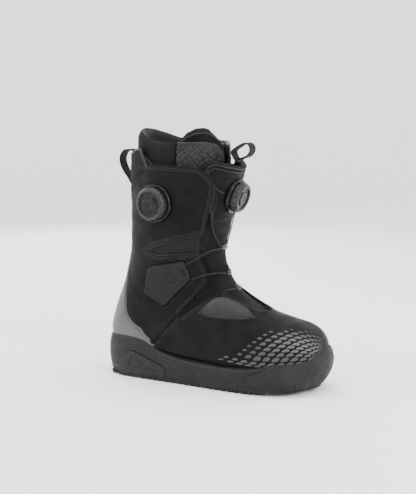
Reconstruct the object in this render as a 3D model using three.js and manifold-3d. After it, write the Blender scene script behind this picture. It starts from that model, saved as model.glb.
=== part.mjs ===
// Snowboard boot with two lace dials, right foot. Millimetres, +Z up, toe towards +X, medial side +Y.
// The whole upper is laid over one foot form, the last: a row of stations from the toe tip over the
// instep and the heel up the shaft. A place on the boot is (station, angle, depth): the angle runs
// round the section, 0 on the front ridge, 180 on the sole or the back, and depth goes inwards.
import * as THREE from "three";
import { mergeVertices } from "three/addons/utils/BufferGeometryUtils.js";
import Module from "manifold-3d";

const wasm = await Module();
wasm.setup();

// ---------------------------------------------------------------- driving dimensions
const SOLE_LENGTH = 304; // heel to toe, over the midsole
const BALL_WIDTH = 105; // upper, across the ball of the foot
const SHAFT_RISE = 258; // from the insole board to the top of the cuff panels
const FIT = 0.3; // gap between pieces that touch
const LAYER_GAP = 1; // gap between layers that lie on each other over the last

const LUG_HEIGHT = 4.8;
const OUTSOLE_PLATE = 4.2;
const FOAM_UNDER_FOOT = 12.7;
const SOLE_STACK = LUG_HEIGHT + OUTSOLE_PLATE + FIT + FOAM_UNDER_FOOT;
const TOE_SPRING = 13;
const HEEL_BEVEL = 3;
const RUBBER_WRAP = 2.4; // rubber let into the sole's side wall

const PANEL = 2; // outer shell panels
const LINING = 1.8; // waterproof lining behind them
const TONGUE = 4;
const WING = 1.2; // thin cloth between tongue and shell
const BOARD = 1.5; // lasting board
const LINER_WALL = 5;
const LINER_FLAP = 4;
const LINER_TONGUE = 5;
const FOOTBED = 3.5;

const SIDE_DIAL_RADIUS = 21.5;
const FRONT_DIAL_RADIUS = 19.5;
const DIAL_HEIGHT = 12.6;
const DIAL_PULL = 3; // how far a knob pops out of its ratchet teeth to let the lace go
const DIAL_RING = 3.2; // width of the ratchet ring
const DIAL_SEAT = 3.1; // height of the dial base above the panel
const LACE_RADIUS = 0.8;
const WEBBING = 1.6;
const WEBBING_WIDTH = 17;

// Depths of the layers below the surface of the last, from the outside in.
const LINING_DEPTH = PANEL + LAYER_GAP;
const INSIDE = LINING_DEPTH + LINING + LAYER_GAP;
const TONGUE_INNER = INSIDE + TONGUE;

// ---------------------------------------------------------------- the last
const FORM_LENGTH = 304; // the size the stations below are written for
const FORM_WIDTH = 105;
const FORM_RISE = 258;
const FORM_SOLE = 22;

const alongX = (x) => (x * SOLE_LENGTH) / FORM_LENGTH;
const acrossY = (y) => (y * BALL_WIDTH) / FORM_WIDTH;
const upZ = (z) => SOLE_STACK + ((z - FORM_SOLE) * SHAFT_RISE) / FORM_RISE;

// ridge x, ridge z, base x, base z, half width, centre y, where the section is widest (share from
// ridge to base), roundness of the ridge side, roundness of the base side
const STATIONS = [
  [298.6, 62, 298.6, 35, -17.5, 6, 0.66, 2.2, 3.0],
  [301.5, 49, 301.5, 38, 0, 6, 0.66, 2.2, 3.0], // 0: toe tip
  [298.6, 62, 298.6, 35, 17.5, 6, 0.66, 2.2, 3.0],
  [291, 73, 291, 31, 33, 5.5, 0.67, 2.2, 3.0],
  [278.5, 81.5, 278.5, 28, 43.5, 4.5, 0.68, 2.2, 3.2],
  [257, 88, 257, 25, 50, 2.5, 0.7, 2.15, 3.4],
  [231, 95.5, 231, 23, 52.5, -0.5, 0.7, 2.05, 3.4], // 5: ball of the foot
  [208, 108, 198, 22, 51.5, -2, 0.68, 1.95, 3.4],
  [194, 119.5, 160, 22, 48.5, -2.5, 0.66, 1.9, 3.4],
  [184, 130, 118, 23, 46, -2, 0.63, 1.9, 3.3],
  [177.5, 139, 75, 24, 45, -1, 0.6, 1.95, 3.2],
  [173.5, 147.5, 38, 25.5, 44.5, 0, 0.57, 2.0, 3.0], // 10: instep to heel
  [171, 155, 14, 37, 44.5, 0, 0.55, 2.05, 2.7],
  [169.5, 162, 7.5, 60, 45, 0, 0.54, 2.1, 2.5],
  [168.5, 169, 16, 92, 46, 0, 0.53, 2.15, 2.35],
  [169.5, 178, 27.5, 122, 47.5, 0, 0.52, 2.2, 2.25],
  [172, 191, 36, 152, 49.5, 0, 0.51, 2.2, 2.2], // 15: ankle
  [177, 210, 38.5, 185, 52, 0, 0.5, 2.2, 2.2],
  [185, 233, 39.5, 220, 54.5, 0, 0.5, 2.2, 2.2],
  [192, 257, 39.5, 255, 56.5, 0, 0.5, 2.2, 2.2],
  [196.5, 284, 40.5, 290, 58, 0, 0.5, 2.2, 2.2],
  [199.5, 312, 41.5, 322, 59, 0, 0.5, 2.2, 2.2], // 20: top of the liner
  [202, 340, 43, 352, 59.5, 0, 0.5, 2.2, 2.2],
  [204, 368, 44, 382, 60, 0, 0.5, 2.2, 2.2],
];
const LAST_STATION = STATIONS.length - 3;

// The station row at a broken station number, by a Catmull-Rom spline through the rows.
function section(station) {
  const clamped = Math.min(Math.max(station, 0), LAST_STATION - 1e-6);
  const i = Math.floor(clamped);
  const f = clamped - i;
  const [a, b, c, d] = [0, 1, 2, 3].map((k) => STATIONS[i + k]);
  return b.map((_, k) => {
    const slope = c[k] - a[k];
    const bend = 2 * a[k] - 5 * b[k] + 4 * c[k] - d[k];
    const twist = 3 * b[k] - a[k] - 3 * c[k] + d[k];
    return 0.5 * (2 * b[k] + slope * f + bend * f * f + twist * f ** 3);
  });
}

// The point of the last at a station, an angle in degrees and a depth below the surface.
function last(station, angle, depth = 0) {
  const [rx, rz, bx, bz, w, yc, widest, frontRound, backRound] = section(station);
  const ridge = new THREE.Vector2(alongX(rx), upZ(rz));
  const base = new THREE.Vector2(alongX(bx), upZ(bz));
  const halfWidth = acrossY(w);
  const line = base.clone().sub(ridge);
  const reach = Math.min(depth, line.length() * 0.45);
  const inward = line.clone().normalize();
  ridge.addScaledVector(inward, reach);
  base.addScaledVector(inward, -reach);
  const toeShare = THREE.MathUtils.clamp((4.5 - station) / 4.5, 0, 1);
  const turned = THREE.MathUtils.euclideanModulo(angle + 180, 360) - 180;
  const side = turned < 0 ? 1 : -1;
  const radians = THREE.MathUtils.degToRad(Math.abs(turned));
  const cosine = Math.cos(radians);
  const roundness = cosine >= 0 ? frontRound : backRound;
  const c = Math.abs(cosine) ** (2 / roundness);
  const share = cosine >= 0 ? widest * (1 - c) : widest + (1 - widest) * c;
  const width = halfWidth - depth * THREE.MathUtils.clamp(halfWidth / 20, -1, 1);
  return new THREE.Vector3(
    ridge.x + (base.x - ridge.x) * share - reach * toeShare,
    acrossY(yc) + side * width * Math.abs(Math.sin(radians)) ** (2 / roundness),
    ridge.y + (base.y - ridge.y) * share,
  );
}

// The outward normal of the last there.
function lastNormal(station, angle, depth = 0) {
  const up = last(station + 0.05, angle, depth).sub(last(station - 0.05, angle, depth));
  const round = last(station, angle + 1, depth).sub(last(station, angle - 1, depth));
  return round.cross(up).normalize().negate();
}

// ---------------------------------------------------------------- shape tools
const mix = (a, b, t) => a + (b - a) * t;
const constant = (value) => () => value;

// An angle round the boot as 0 to 180 on either side.
const foldAngle = (angle) =>
  Math.abs(THREE.MathUtils.euclideanModulo(angle + 180, 360) - 180);

// A value through knots [[at, value], ...], straight between them and level past the ends.
function through(knots) {
  return (at) => {
    if (at <= knots[0][0]) return knots[0][1];
    const i = knots.findIndex(([x]) => x > at);
    if (i < 0) return knots.at(-1)[1];
    const [x0, y0] = knots[i - 1];
    const [x1, y1] = knots[i];
    return mix(y0, y1, (at - x0) / (x1 - x0));
  };
}

// A closed geometry from points and triangles, turned right side out by its signed volume.
function closed(points, faces) {
  let volume = 0;
  for (const [a, b, c] of faces) {
    volume += points[a].clone().cross(points[b]).dot(points[c]);
  }
  const order = volume < 0 ? faces.map(([a, b, c]) => [a, c, b]) : faces;
  const geometry = new THREE.BufferGeometry();
  geometry.setAttribute(
    "position",
    new THREE.Float32BufferAttribute(points.flatMap((p) => p.toArray()), 3),
  );
  geometry.setIndex(order.flat());
  return geometry;
}

// A skin over the last. at(u, v) gives [station, angle]; u goes up the boot, v round it. A ring
// closes on itself in v, and capped closes its u = 0 end on both faces, as a sock's toe.
function skin({ at, rows, cols, outer, inner, ring = false, capped = false }) {
  const depthOf = (depth) => (typeof depth === "function" ? depth : constant(depth));
  const width = ring ? cols : cols + 1;
  const points = [];
  for (const depth of [depthOf(outer), depthOf(inner)]) {
    for (let i = 0; i <= rows; i++) {
      for (let j = 0; j < width; j++) {
        const [station, angle] = at(i / rows, j / cols);
        points.push(last(station, angle, depth(station, angle)));
      }
    }
  }
  const layer = (rows + 1) * width;
  const id = (face, i, j) => face * layer + i * width + (j % width);
  const faces = [];
  const quad = (a, b, c, d) => faces.push([a, b, c], [a, c, d]);
  for (let i = 0; i < rows; i++) {
    for (let j = 0; j < cols; j++) {
      quad(id(0, i, j), id(0, i + 1, j), id(0, i + 1, j + 1), id(0, i, j + 1));
      quad(id(1, i, j + 1), id(1, i + 1, j + 1), id(1, i + 1, j), id(1, i, j));
    }
    if (!ring) {
      quad(id(0, i, 0), id(1, i, 0), id(1, i + 1, 0), id(0, i + 1, 0));
      quad(id(0, i, cols), id(0, i + 1, cols), id(1, i + 1, cols), id(1, i, cols));
    }
  }
  for (let j = 0; j < cols; j++) {
    quad(id(0, rows, j), id(1, rows, j), id(1, rows, j + 1), id(0, rows, j + 1));
    if (!capped) quad(id(0, 0, j), id(0, 0, j + 1), id(1, 0, j + 1), id(1, 0, j));
  }
  if (capped) {
    for (let j = 1; j < cols - 1; j++) {
      faces.push([id(0, 0, 0), id(0, 0, j), id(0, 0, j + 1)]);
      faces.push([id(1, 0, 0), id(1, 0, j + 1), id(1, 0, j)]);
    }
  }
  return closed(points, faces);
}

// A solid through closed rings of points, each ring as long as the next, flat at both ends.
function loft(rings) {
  const count = rings[0].length;
  const points = rings.flat();
  const faces = [];
  for (let i = 0; i < rings.length - 1; i++) {
    for (let j = 0; j < count; j++) {
      const k = (j + 1) % count;
      faces.push([i * count + j, i * count + k, (i + 1) * count + k]);
      faces.push([i * count + j, (i + 1) * count + k, (i + 1) * count + j]);
    }
  }
  const outline = rings[0].map((p) => new THREE.Vector2(p.x, p.y));
  const top = (rings.length - 1) * count;
  for (const [a, b, c] of THREE.ShapeUtils.triangulateShape(outline, [])) {
    faces.push([a, c, b], [top + a, top + b, top + c]);
  }
  return closed(points, faces);
}

// Stations close enough together to follow the last's bends.
const FORM_ROWS = [
  0.04, 0.35, 0.9, 1.6, 2.4, 3.4, 4.6, 5.8, 6.9, 7.7, 8.4, 9.3, 9.9, 10.4, 10.9, 11.5, 12.3, 13.2,
  14.2, 15.2, 16.4, 17.4, 18.4, 19.6,
];
const rowsFrom = (from, to) => [from, ...FORM_ROWS.filter((s) => s > from && s < to), to];

// The last's own solid between two stations, with a depth below its surface.
function lastSolid(depth, from, to, cols = 28) {
  const stations = rowsFrom(from, to);
  const rows = stations.length - 1;
  const points = stations.flatMap((station) =>
    Array.from({ length: cols }, (_, j) => last(station, (j / cols) * 360, depth)),
  );
  const faces = [];
  for (let i = 0; i < rows; i++) {
    for (let j = 0; j < cols; j++) {
      const [a, b] = [i * cols + j, i * cols + ((j + 1) % cols)];
      faces.push([a, a + cols, b + cols], [a, b + cols, b]);
    }
  }
  const top = rows * cols;
  for (let j = 1; j < cols - 1; j++) {
    faces.push([0, j, j + 1], [top, top + j + 1, top + j]);
  }
  return closed(points, faces);
}

// Geometry to a solid that can be cut and joined, and back.
function solid(geometry) {
  const bare = geometry.clone();
  bare.deleteAttribute("normal");
  bare.deleteAttribute("uv");
  const merged = mergeVertices(bare, 1e-4);
  return new wasm.Manifold(
    new wasm.Mesh({
      numProp: 3,
      vertProperties: new Float32Array(merged.attributes.position.array),
      triVerts: new Uint32Array(merged.index.array),
    }),
  );
}

function geometryOf(manifold) {
  const mesh = manifold.getMesh();
  const geometry = new THREE.BufferGeometry();
  geometry.setAttribute("position", new THREE.BufferAttribute(mesh.vertProperties.slice(), 3));
  geometry.setIndex(new THREE.BufferAttribute(mesh.triVerts.slice(), 1));
  return geometry;
}

const cut = (geometry, ...tools) =>
  geometryOf(tools.reduce((body, tool) => body.subtract(solid(tool)), solid(geometry)));
const join = (geometry, ...others) =>
  geometryOf(others.reduce((body, other) => body.add(solid(other)), solid(geometry)));
const common = (geometry, tool) => geometryOf(solid(geometry).intersect(solid(tool)));

// A prism across the boot from a side-view outline of [x, z] points. side is -1 lateral, 1 medial.
function sidePrism(outline, side, near = 6, far = 90) {
  const shape = new THREE.Shape(outline.map(([x, z]) => new THREE.Vector2(alongX(x), upZ(z))));
  const geometry = new THREE.ExtrudeGeometry(shape, { depth: far - near, bevelEnabled: false });
  geometry.rotateX(Math.PI / 2);
  return geometry.translate(0, side < 0 ? -near : far, 0);
}

// An outline moved in by a distance, each corner along its bisector.
function shrink(outline, distance) {
  const points = outline.map(([x, z]) => new THREE.Vector2(x, z));
  const turn = Math.sign(THREE.ShapeUtils.area(points));
  return points.map((p, i) => {
    const before = points.at(i - 1);
    const after = points[(i + 1) % points.length];
    const one = p.clone().sub(before).normalize();
    const two = after.clone().sub(p).normalize();
    const bisector = new THREE.Vector2(-one.y - two.y, one.x + two.x).multiplyScalar(turn);
    const stretch = distance / (1 + one.dot(two));
    return [p.x + bisector.x * stretch, p.y + bisector.y * stretch];
  });
}

function box(x0, x1, y0, y1, z0, z1) {
  const geometry = new THREE.BoxGeometry(x1 - x0, y1 - y0, z1 - z0);
  return geometry.translate((x0 + x1) / 2, (y0 + y1) / 2, (z0 + z1) / 2);
}

// A turned piece, its axis along +Z, from a closed [radius, height] profile.
function turned(profile, segments = 20) {
  const outline = [...profile, profile[0]].map(([r, h]) => new THREE.Vector2(r, h));
  const geometry = new THREE.LatheGeometry(outline, segments).rotateX(Math.PI / 2);
  return geometryOf(solid(closedFrom(geometry)));
}

// A lathe surface merged at its seam and its poles.
function closedFrom(geometry) {
  geometry.deleteAttribute("normal");
  geometry.deleteAttribute("uv");
  const merged = mergeVertices(geometry, 1e-4);
  const { array } = merged.attributes.position;
  const points = [];
  for (let i = 0; i < array.length; i += 3) {
    points.push(new THREE.Vector3(array[i], array[i + 1], array[i + 2]));
  }
  const faces = [];
  for (let i = 0; i < merged.index.array.length; i += 3) {
    const face = [...merged.index.array.slice(i, i + 3)];
    if (new Set(face).size === 3) faces.push(face);
  }
  return closed(points, faces);
}

// A round cord through points.
function cord(points, radius) {
  const path = new THREE.CatmullRomCurve3(points, false, "centripetal");
  const shape = new THREE.Shape();
  const sides = 8;
  for (let k = 0; k < sides; k++) {
    const turn = (k / sides) * 2 * Math.PI;
    const corner = [radius * Math.cos(turn), radius * Math.sin(turn)];
    if (k === 0) shape.moveTo(...corner);
    else shape.lineTo(...corner);
  }
  shape.closePath();
  const steps = Math.max(3, Math.round(path.getLength() / 8));
  return new THREE.ExtrudeGeometry(shape, { extrudePath: path, steps, bevelEnabled: false });
}

// ---------------------------------------------------------------- materials and the group
const boot = new THREE.Group();
boot.name = "snowboard_boot";

const FINISHES = {
  rubber: [0x26262a, 0.85, 0],
  foam: [0x3a3b3e, 0.75, 0],
  nubuck: [0x17181a, 0.9, 0],
  counter: [0x5c5a59, 0.45, 0],
  mesh: [0x2a2d30, 0.85, 0],
  lining: [0x1d1e20, 0.95, 0],
  board: [0x8a8478, 0.9, 0],
  plate: [0x2f3134, 0.4, 0],
  canvas: [0x24261f, 0.9, 0],
  webbing: [0x202124, 0.85, 0],
  liner: [0x37322f, 0.9, 0],
  dial: [0x151618, 0.3, 0],
  dialRing: [0x4a4b4e, 0.35, 0.1],
  nylon: [0x6e6f70, 0.5, 0],
  steel: [0xa5a8ac, 0.3, 1],
  lace: [0x55585c, 0.5, 0.4],
};

function add(name, geometry, finish, parent = boot) {
  const [color, roughness, metalness] = FINISHES[finish];
  const material = new THREE.MeshStandardMaterial({ color, roughness, metalness });
  const mesh = new THREE.Mesh(geometry, material);
  mesh.name = name;
  parent.add(mesh);
  return mesh;
}

const SIDES = [
  ["lateral", 1],
  ["medial", -1],
];

// ---------------------------------------------------------------- the sole
// Half the outline points are lateral, from the heel round the outside to the toe.
const SOLE_PLAN = [
  [3.8, 0], [7.5, -20], [20, -34], [41, -42.5], [80, -46.5], [120, -49.5], [160, -53.5],
  [200, -57], [235, -57], [261, -51.5], [281, -43], [295, -29], [304.5, -9], [307, 8],
  [302, 29], [291, 45], [275, 53.5], [255, 57], [225, 56], [195, 52.5], [160, 48], [120, 46],
  [80, 45.5], [41, 42.5], [20, 34], [7.5, 20],
];
const SOLE_POINTS = 46;
const soleOutline = new THREE.CatmullRomCurve3(
  SOLE_PLAN.map(([x, y]) => new THREE.Vector3(alongX(x), acrossY(y), 0)),
  true,
  "centripetal",
)
  .getSpacedPoints(SOLE_POINTS)
  .slice(0, SOLE_POINTS);

// How far the ground side lifts at the toe and the heel.
function groundLift(x) {
  const toe = Math.max(0, (x - alongX(215)) / alongX(90));
  const heel = Math.max(0, (alongX(40) - x) / alongX(36));
  return TOE_SPRING * toe ** 2 + HEEL_BEVEL * heel ** 2;
}

// The height of the sole's upper edge along the foot.
const soleEdge = through([
  [4, 51], [40, 54], [68, 54], [80, 48], [98, 38.5], [125, 32.5], [150, 30.5], [189, 29],
  [220, 30.5], [250, 36], [284, 39], [297, 43], [303, 53], [307, 60],
]);

// Levels of the side wall: share of the way from the tread to the upper edge, and set-back.
const SOLE_WALL = [[-0.1, 3.4], [0.06, 3], [0.3, 0.6], [0.56, 0], [0.86, 0.9], [1, 2.8]];

// The level direction into the sole at a point of its outline.
function inwardAt(i) {
  const along = soleOutline[(i + 1) % SOLE_POINTS].clone().sub(soleOutline.at(i - 1));
  return new THREE.Vector3(-along.y, along.x, 0).normalize();
}

// The sole's full block with its wall moved in by a distance.
function soleBlock(setBack) {
  const rings = SOLE_WALL.map(([share, wall]) =>
    soleOutline.map((p, i) => {
      const tread = LUG_HEIGHT + groundLift(p.x);
      const edge = upZ(soleEdge(p.x / alongX(1)));
      const point = p.clone().addScaledVector(inwardAt(i), wall + setBack);
      return point.setZ(mix(tread, edge, share));
    }),
  );
  return loft(rings);
}

// Everything under a height above the tread, as a block with the sole's bottom line.
function underSole(height) {
  const shape = new THREE.Shape();
  shape.moveTo(alongX(-20), -40);
  for (const x of [-20, 4, 16, 28, 40, 215, 230, 245, 260, 275, 290, 305, 330]) {
    shape.lineTo(alongX(x), groundLift(alongX(x)) + height);
  }
  shape.lineTo(alongX(330), -40);
  shape.closePath();
  const slab = new THREE.ExtrudeGeometry(shape, { depth: 200, bevelEnabled: false });
  return slab.rotateX(Math.PI / 2).translate(0, 100, 0);
}

// Side-view outlines of the rubber that climbs the wall at the heel and at the toe.
const HEEL_INSET = [
  [30, 4], [41, 20], [50, 35], [60, 35], [101, 21], [106, 14], [103, 4],
];
const TOE_WRAP = [
  [243, -6], [228, 16], [224, 22], [242, 29], [253, 39], [262, 64], [340, 90], [340, -6],
];

// The sole's outline moved in by a distance, straight up from the ground.
function solePrism(setBack, height) {
  const at = (z) =>
    soleOutline.map((p, i) => p.clone().addScaledVector(inwardAt(i), setBack).setZ(z));
  return loft([at(-1), at(height)]);
}

// Half width of the sole on one side, -1 lateral and 1 medial, at a distance along the foot.
const reachOn = (side) =>
  through(
    SOLE_PLAN.filter(([, y]) => y * side >= 0)
      .map(([x, y]) => [x, Math.abs(y)])
      .sort(([one], [other]) => one - other),
  );
const lateralReach = reachOn(-1);
const medialReach = reachOn(1);

const EDGE_LUG_INSET = 10.5; // from the sole's edge to the middle of an edge lug

function lugs(from, to) {
  const pitch = 18;
  const blocks = [];
  for (let x = from; x <= to; x += pitch) {
    const shift = Math.round(x / pitch) % 2 ? 3 : -3;
    for (const side of [-1, 0, 1]) {
      const reach = side < 0 ? lateralReach(x) : medialReach(x);
      const y = side === 0 ? shift : side * (reach - EDGE_LUG_INSET);
      const lift = Math.max(groundLift(alongX(x - 5)), groundLift(alongX(x + 5)));
      const long = side === 0 ? 9 : 11;
      const block = box(-long / 2, long / 2, -7, 7, 0, LUG_HEIGHT + 6);
      blocks.push(block.translate(alongX(x), acrossY(y), lift));
    }
  }
  return blocks;
}
const HEEL_END = 112;
const FORE_START = 121;

function buildSole() {
  const block = cut(soleBlock(0), underSole(LUG_HEIGHT));
  const core = soleBlock(RUBBER_WRAP);
  const coreInside = soleBlock(RUBBER_WRAP + FIT);
  const plateTop = LUG_HEIGHT + OUTSOLE_PLATE;
  const footprint = common(solePrism(3, plateTop + TOE_SPRING + 10), underSole(plateTop));
  const tread = (from, to) => lugs(from, to).map((lug) => common(lug, footprint));
  const foot = lastSolid(-LAYER_GAP, FORM_ROWS[0], 13);
  const heelRegion = (by) => sidePrism(shrink(HEEL_INSET, by), -1, -90, 90);
  const toeRegion = (by) => sidePrism(shrink(TOE_WRAP, by), -1, -90, 90);

  const plate = common(block, underSole(plateTop));
  const heelPlate = common(plate, box(-20, alongX(HEEL_END), -90, 90, -10, 90));
  const forePlate = common(plate, box(alongX(FORE_START), alongX(340), -90, 90, -10, 90));
  const heelWrap = cut(common(block, heelRegion(FIT)), core);
  const toeWrap = cut(common(block, toeRegion(FIT)), core, foot);
  add("outsole_heel", join(heelPlate, heelWrap, ...tread(16, 104)), "rubber");
  add("outsole_forefoot", join(forePlate, toeWrap, ...tread(132, 296)), "rubber");

  const heelPocket = cut(heelRegion(0), coreInside);
  const toePocket = cut(toeRegion(0), coreInside);
  const midsole = cut(block, underSole(plateTop + FIT), heelPocket, toePocket, foot);
  add("midsole", midsole, "foam");

  const shankAt = (u, v) => [mix(9.2, 5.4, u), mix(168, 192, v)];
  add("shank", skin({ at: shankAt, rows: 6, cols: 2, outer: 0.3, inner: PANEL }), "steel");
}

// ---------------------------------------------------------------- edges of the shell panels
// Angle of the cuff's front edge, at a station.
const cuffFront = through([
  [9.3, 38], [9.75, 39.5], [11.2, 36.5], [13.6, 43.5], [15.2, 43.5], [17, 42.5], [17.9, 44.5],
  [18.3, 50.5],
]);
// Angle of the heel counter's front edge, at a station.
const counterEdge = through([
  [9, 118], [9.6, 104], [10.5, 101], [11.5, 108], [12.6, 117.5], [13.6, 131], [14.6, 148],
  [15.4, 163], [15.9, 176],
]);
// Station of the back collar's lower edge, at an angle.
const collarLow = through([
  [100, 18.8], [106.5, 18.56], [112.5, 18.42], [120, 18.14], [137, 17.66], [155, 17.24],
  [167, 17.04], [180, 16.92],
]);
// Station of the vamp's rear edge, at an angle.
const vampRear = through([
  [0, 8.2], [35, 8.22], [50, 8.62], [65, 8.98], [80, 9.22], [94, 9.18], [115, 9.1],
]);
// Half angle of the throat, where the tongue shows.
const throat = through([
  [5.1, 3], [5.3, 11], [5.9, 20], [7, 27], [8.2, 33], [9.6, 38], [11.2, 36.5], [13.6, 43.5],
  [15.2, 43.5], [17, 42.5], [17.9, 44.5], [18.3, 50.5], [19.5, 60],
]);

const CUT_FROM = -6; // depth where a cutter over the last starts

// Everything over the throat, opened further by a margin in degrees.
function throatCutter(margin, from = 5.1, to = 19.6) {
  const at = (u, v) => {
    const station = mix(from, to, u);
    return [station, mix(-1, 1, v) * (throat(station) + margin)];
  };
  return skin({ at, rows: 18, cols: 8, outer: CUT_FROM, inner: INSIDE + 1 });
}

// Everything behind the cuff panels' rear edges: the heel counter's place and the collar's.
const SEAM = 0.5; // gap at a seam, in millimetres
const DEGREES_PER_MM = 1.1; // round the heel
const MM_PER_STATION = 35; // up the back of the shaft
function counterCutter() {
  const stations = rowsFrom(9, 16);
  const rows = stations.length - 1;
  const at = (u, v) => {
    const station = stations[Math.round(u * rows)];
    const edge = counterEdge(station) - SEAM * DEGREES_PER_MM;
    return [station, mix(edge, 360 - edge, v)];
  };
  return skin({ at, rows, cols: 12, outer: CUT_FROM, inner: INSIDE });
}

function collarCutter() {
  const at = (u, v) => {
    const angle = mix(100, 260, v);
    return [mix(collarLow(foldAngle(angle)) - SEAM / MM_PER_STATION, 19.6, u), angle];
  };
  return skin({ at, rows: 3, cols: 16, outer: CUT_FROM, inner: INSIDE });
}

// Side-view outlines on the ankle.
const VENT = [
  [86, 167], [95, 163.5], [124, 166], [147, 167.5], [151.5, 188], [124, 181.5], [96, 173],
];
const ANKLE_PLATE = [[83, 147], [130, 156.5], [137, 133], [103, 97], [76, 114], [78, 122]];

// ---------------------------------------------------------------- the shell
const SIDE_DIAL_AT = [17.07, 101];
const FRONT_DIAL_AT = [17.15, 0];
const PLUG_SHARE = 0.81; // of a dial's radius, for the part let into the panel
const plugRadius = (dialRadius) => dialRadius * PLUG_SHARE;

function dialFrame([station, angle], depth) {
  const origin = last(station, angle, depth);
  const out = lastNormal(station, angle, depth);
  const up = new THREE.Vector3(0, 0, 1).addScaledVector(out, -out.z).normalize();
  const right = up.clone().cross(out);
  return new THREE.Matrix4().makeBasis(right, up, out).setPosition(origin);
}
const sideDialFrame = dialFrame(SIDE_DIAL_AT, 0);
const frontDialFrame = dialFrame(FRONT_DIAL_AT, INSIDE);

const dialHole = (frame, radius) =>
  turned([[0, -14], [radius, -14], [radius, 14], [0, 14]]).applyMatrix4(frame);

function buildLining() {
  const stations = rowsFrom(FORM_ROWS[1], 17.9);
  const rim = through([
    [50, 18.2], [60, 18.5], [100, 18.5], [112, 18.55], [124.5, 19.05], [180, 18.8],
  ]);
  const rows = stations.length;
  const at = (u, v) => {
    const row = Math.round(u * rows);
    return [row < rows ? stations[row] : rim(foldAngle(v * 360)), v * 360];
  };
  const sock = skin({
    at,
    rows,
    cols: 24,
    outer: LINING_DEPTH,
    inner: LINING_DEPTH + LINING,
    ring: true,
    capped: true,
  });
  const hole = dialHole(sideDialFrame, plugRadius(SIDE_DIAL_RADIUS) + FIT);
  add("upper_lining", cut(sock, throatCutter(1.4), hole), "lining");
}

function buildVamp() {
  const low = 120;
  const stations = rowsFrom(FORM_ROWS[1], 7.9);
  const at = (u, v) => {
    const angle = mix(-low, low, v);
    const row = Math.round(u * stations.length);
    return [row < stations.length ? stations[row] : vampRear(Math.abs(angle)), angle];
  };
  const cover = skin({ at, rows: stations.length, cols: 16, outer: 0, inner: PANEL - 0.1 });
  add("vamp", cut(cover, throatCutter(0)), "nubuck");
}

const BACK_SEAM = 179.5; // angle where the two cuff panels meet behind

// Cuff panel, mesh vent, ankle plate and flex gusset of one side.
function buildCuff(name, side) {
  const lower = through([[0, 9.8], [0.15, 9.5], [0.3, 9.42], [0.55, 9.28]]);
  const upper = through([[0, 17.95], [0.02, 18.3], [0.09, 18.55], [0.35, 18.6]]);
  const at = (u, v) => {
    const station = mix(lower(v), upper(v), u);
    return [station, side * mix(cuffFront(station), BACK_SEAM, v)];
  };
  const panel = skin({ at, rows: 11, cols: 11, outer: 0, inner: PANEL });
  const tools = [sidePrism(VENT, -side), counterCutter(), collarCutter()];
  if (side > 0) tools.push(dialHole(sideDialFrame, plugRadius(SIDE_DIAL_RADIUS) + FIT));
  add(`cuff_panel_${name}`, cut(panel, ...tools), "nubuck");

  const ventAt = (u, v) => [mix(13.4, 16.2, u), side * mix(38, 112, v)];
  const ventSkin = skin({ at: ventAt, rows: 4, cols: 8, outer: 0.7, inner: PANEL });
  const vent = common(ventSkin, sidePrism(shrink(VENT, FIT), -side));
  add(`ankle_vent_${name}`, vent, "mesh");

  const plateAt = (u, v) => [mix(9.6, 15.2, u), side * mix(48, 128, v)];
  const plateSkin = skin({ at: plateAt, rows: 7, cols: 7, outer: -2.8, inner: -0.6 });
  add(`ankle_plate_${name}`, common(plateSkin, sidePrism(ANKLE_PLATE, -side)), "plate");

  const gussetAt = (u, v) => {
    const angle = mix(36, 78, v);
    const low = vampRear(angle) + 0.1;
    const high = through([[36, 9.7], [50, 9.5], [78, 9.34]])(angle);
    return [mix(low, high, u), side * angle];
  };
  const gusset = skin({ at: gussetAt, rows: 3, cols: 8, outer: 0.8, inner: PANEL });
  add(`flex_gusset_${name}`, gusset, "mesh");
}

function buildHeelCounter() {
  const stations = rowsFrom(9.35, 15.85);
  const rows = stations.length - 1;
  const at = (u, v) => {
    const station = stations[Math.round(u * rows)];
    const edge = counterEdge(station);
    return [station, mix(edge, 360 - edge, v)];
  };
  const cup = skin({ at, rows, cols: 12, outer: 0.1, inner: PANEL - 0.3 });
  const under = box(-20, alongX(160), -90, 90, -20, upZ(31));
  add("heel_counter", cut(cup, under), "counter");
}

function buildBackCollar() {
  const high = through([[112.5, 18.48], [124.5, 19.13], [135, 19.05], [145, 18.94], [180, 18.86]]);
  const at = (u, v) => {
    const angle = mix(112.5, 247.5, v);
    const same = foldAngle(angle);
    return [mix(collarLow(same), high(same), u), angle];
  };
  add("back_collar", skin({ at, rows: 4, cols: 14, outer: 0, inner: PANEL }), "canvas");
}

function buildLastingBoard() {
  const at = (u, v) => [mix(1.8, 9.8, u), mix(146, 214, v)];
  const board = skin({ at, rows: 9, cols: 4, outer: INSIDE, inner: INSIDE + BOARD });
  add("lasting_board", board, "board");
}

// ---------------------------------------------------------------- the tongue
const TONGUE_CREASE = 10.6; // station where the tongue folds
const TONGUE_SPLIT = 15.8; // station where the canvas meets the plate
const RIM_HEIGHT = 0.33; // of a station
const tongueTop = through([[0, 18.58], [25, 18.75], [45, 18.9], [60, 18.95]]);

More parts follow.
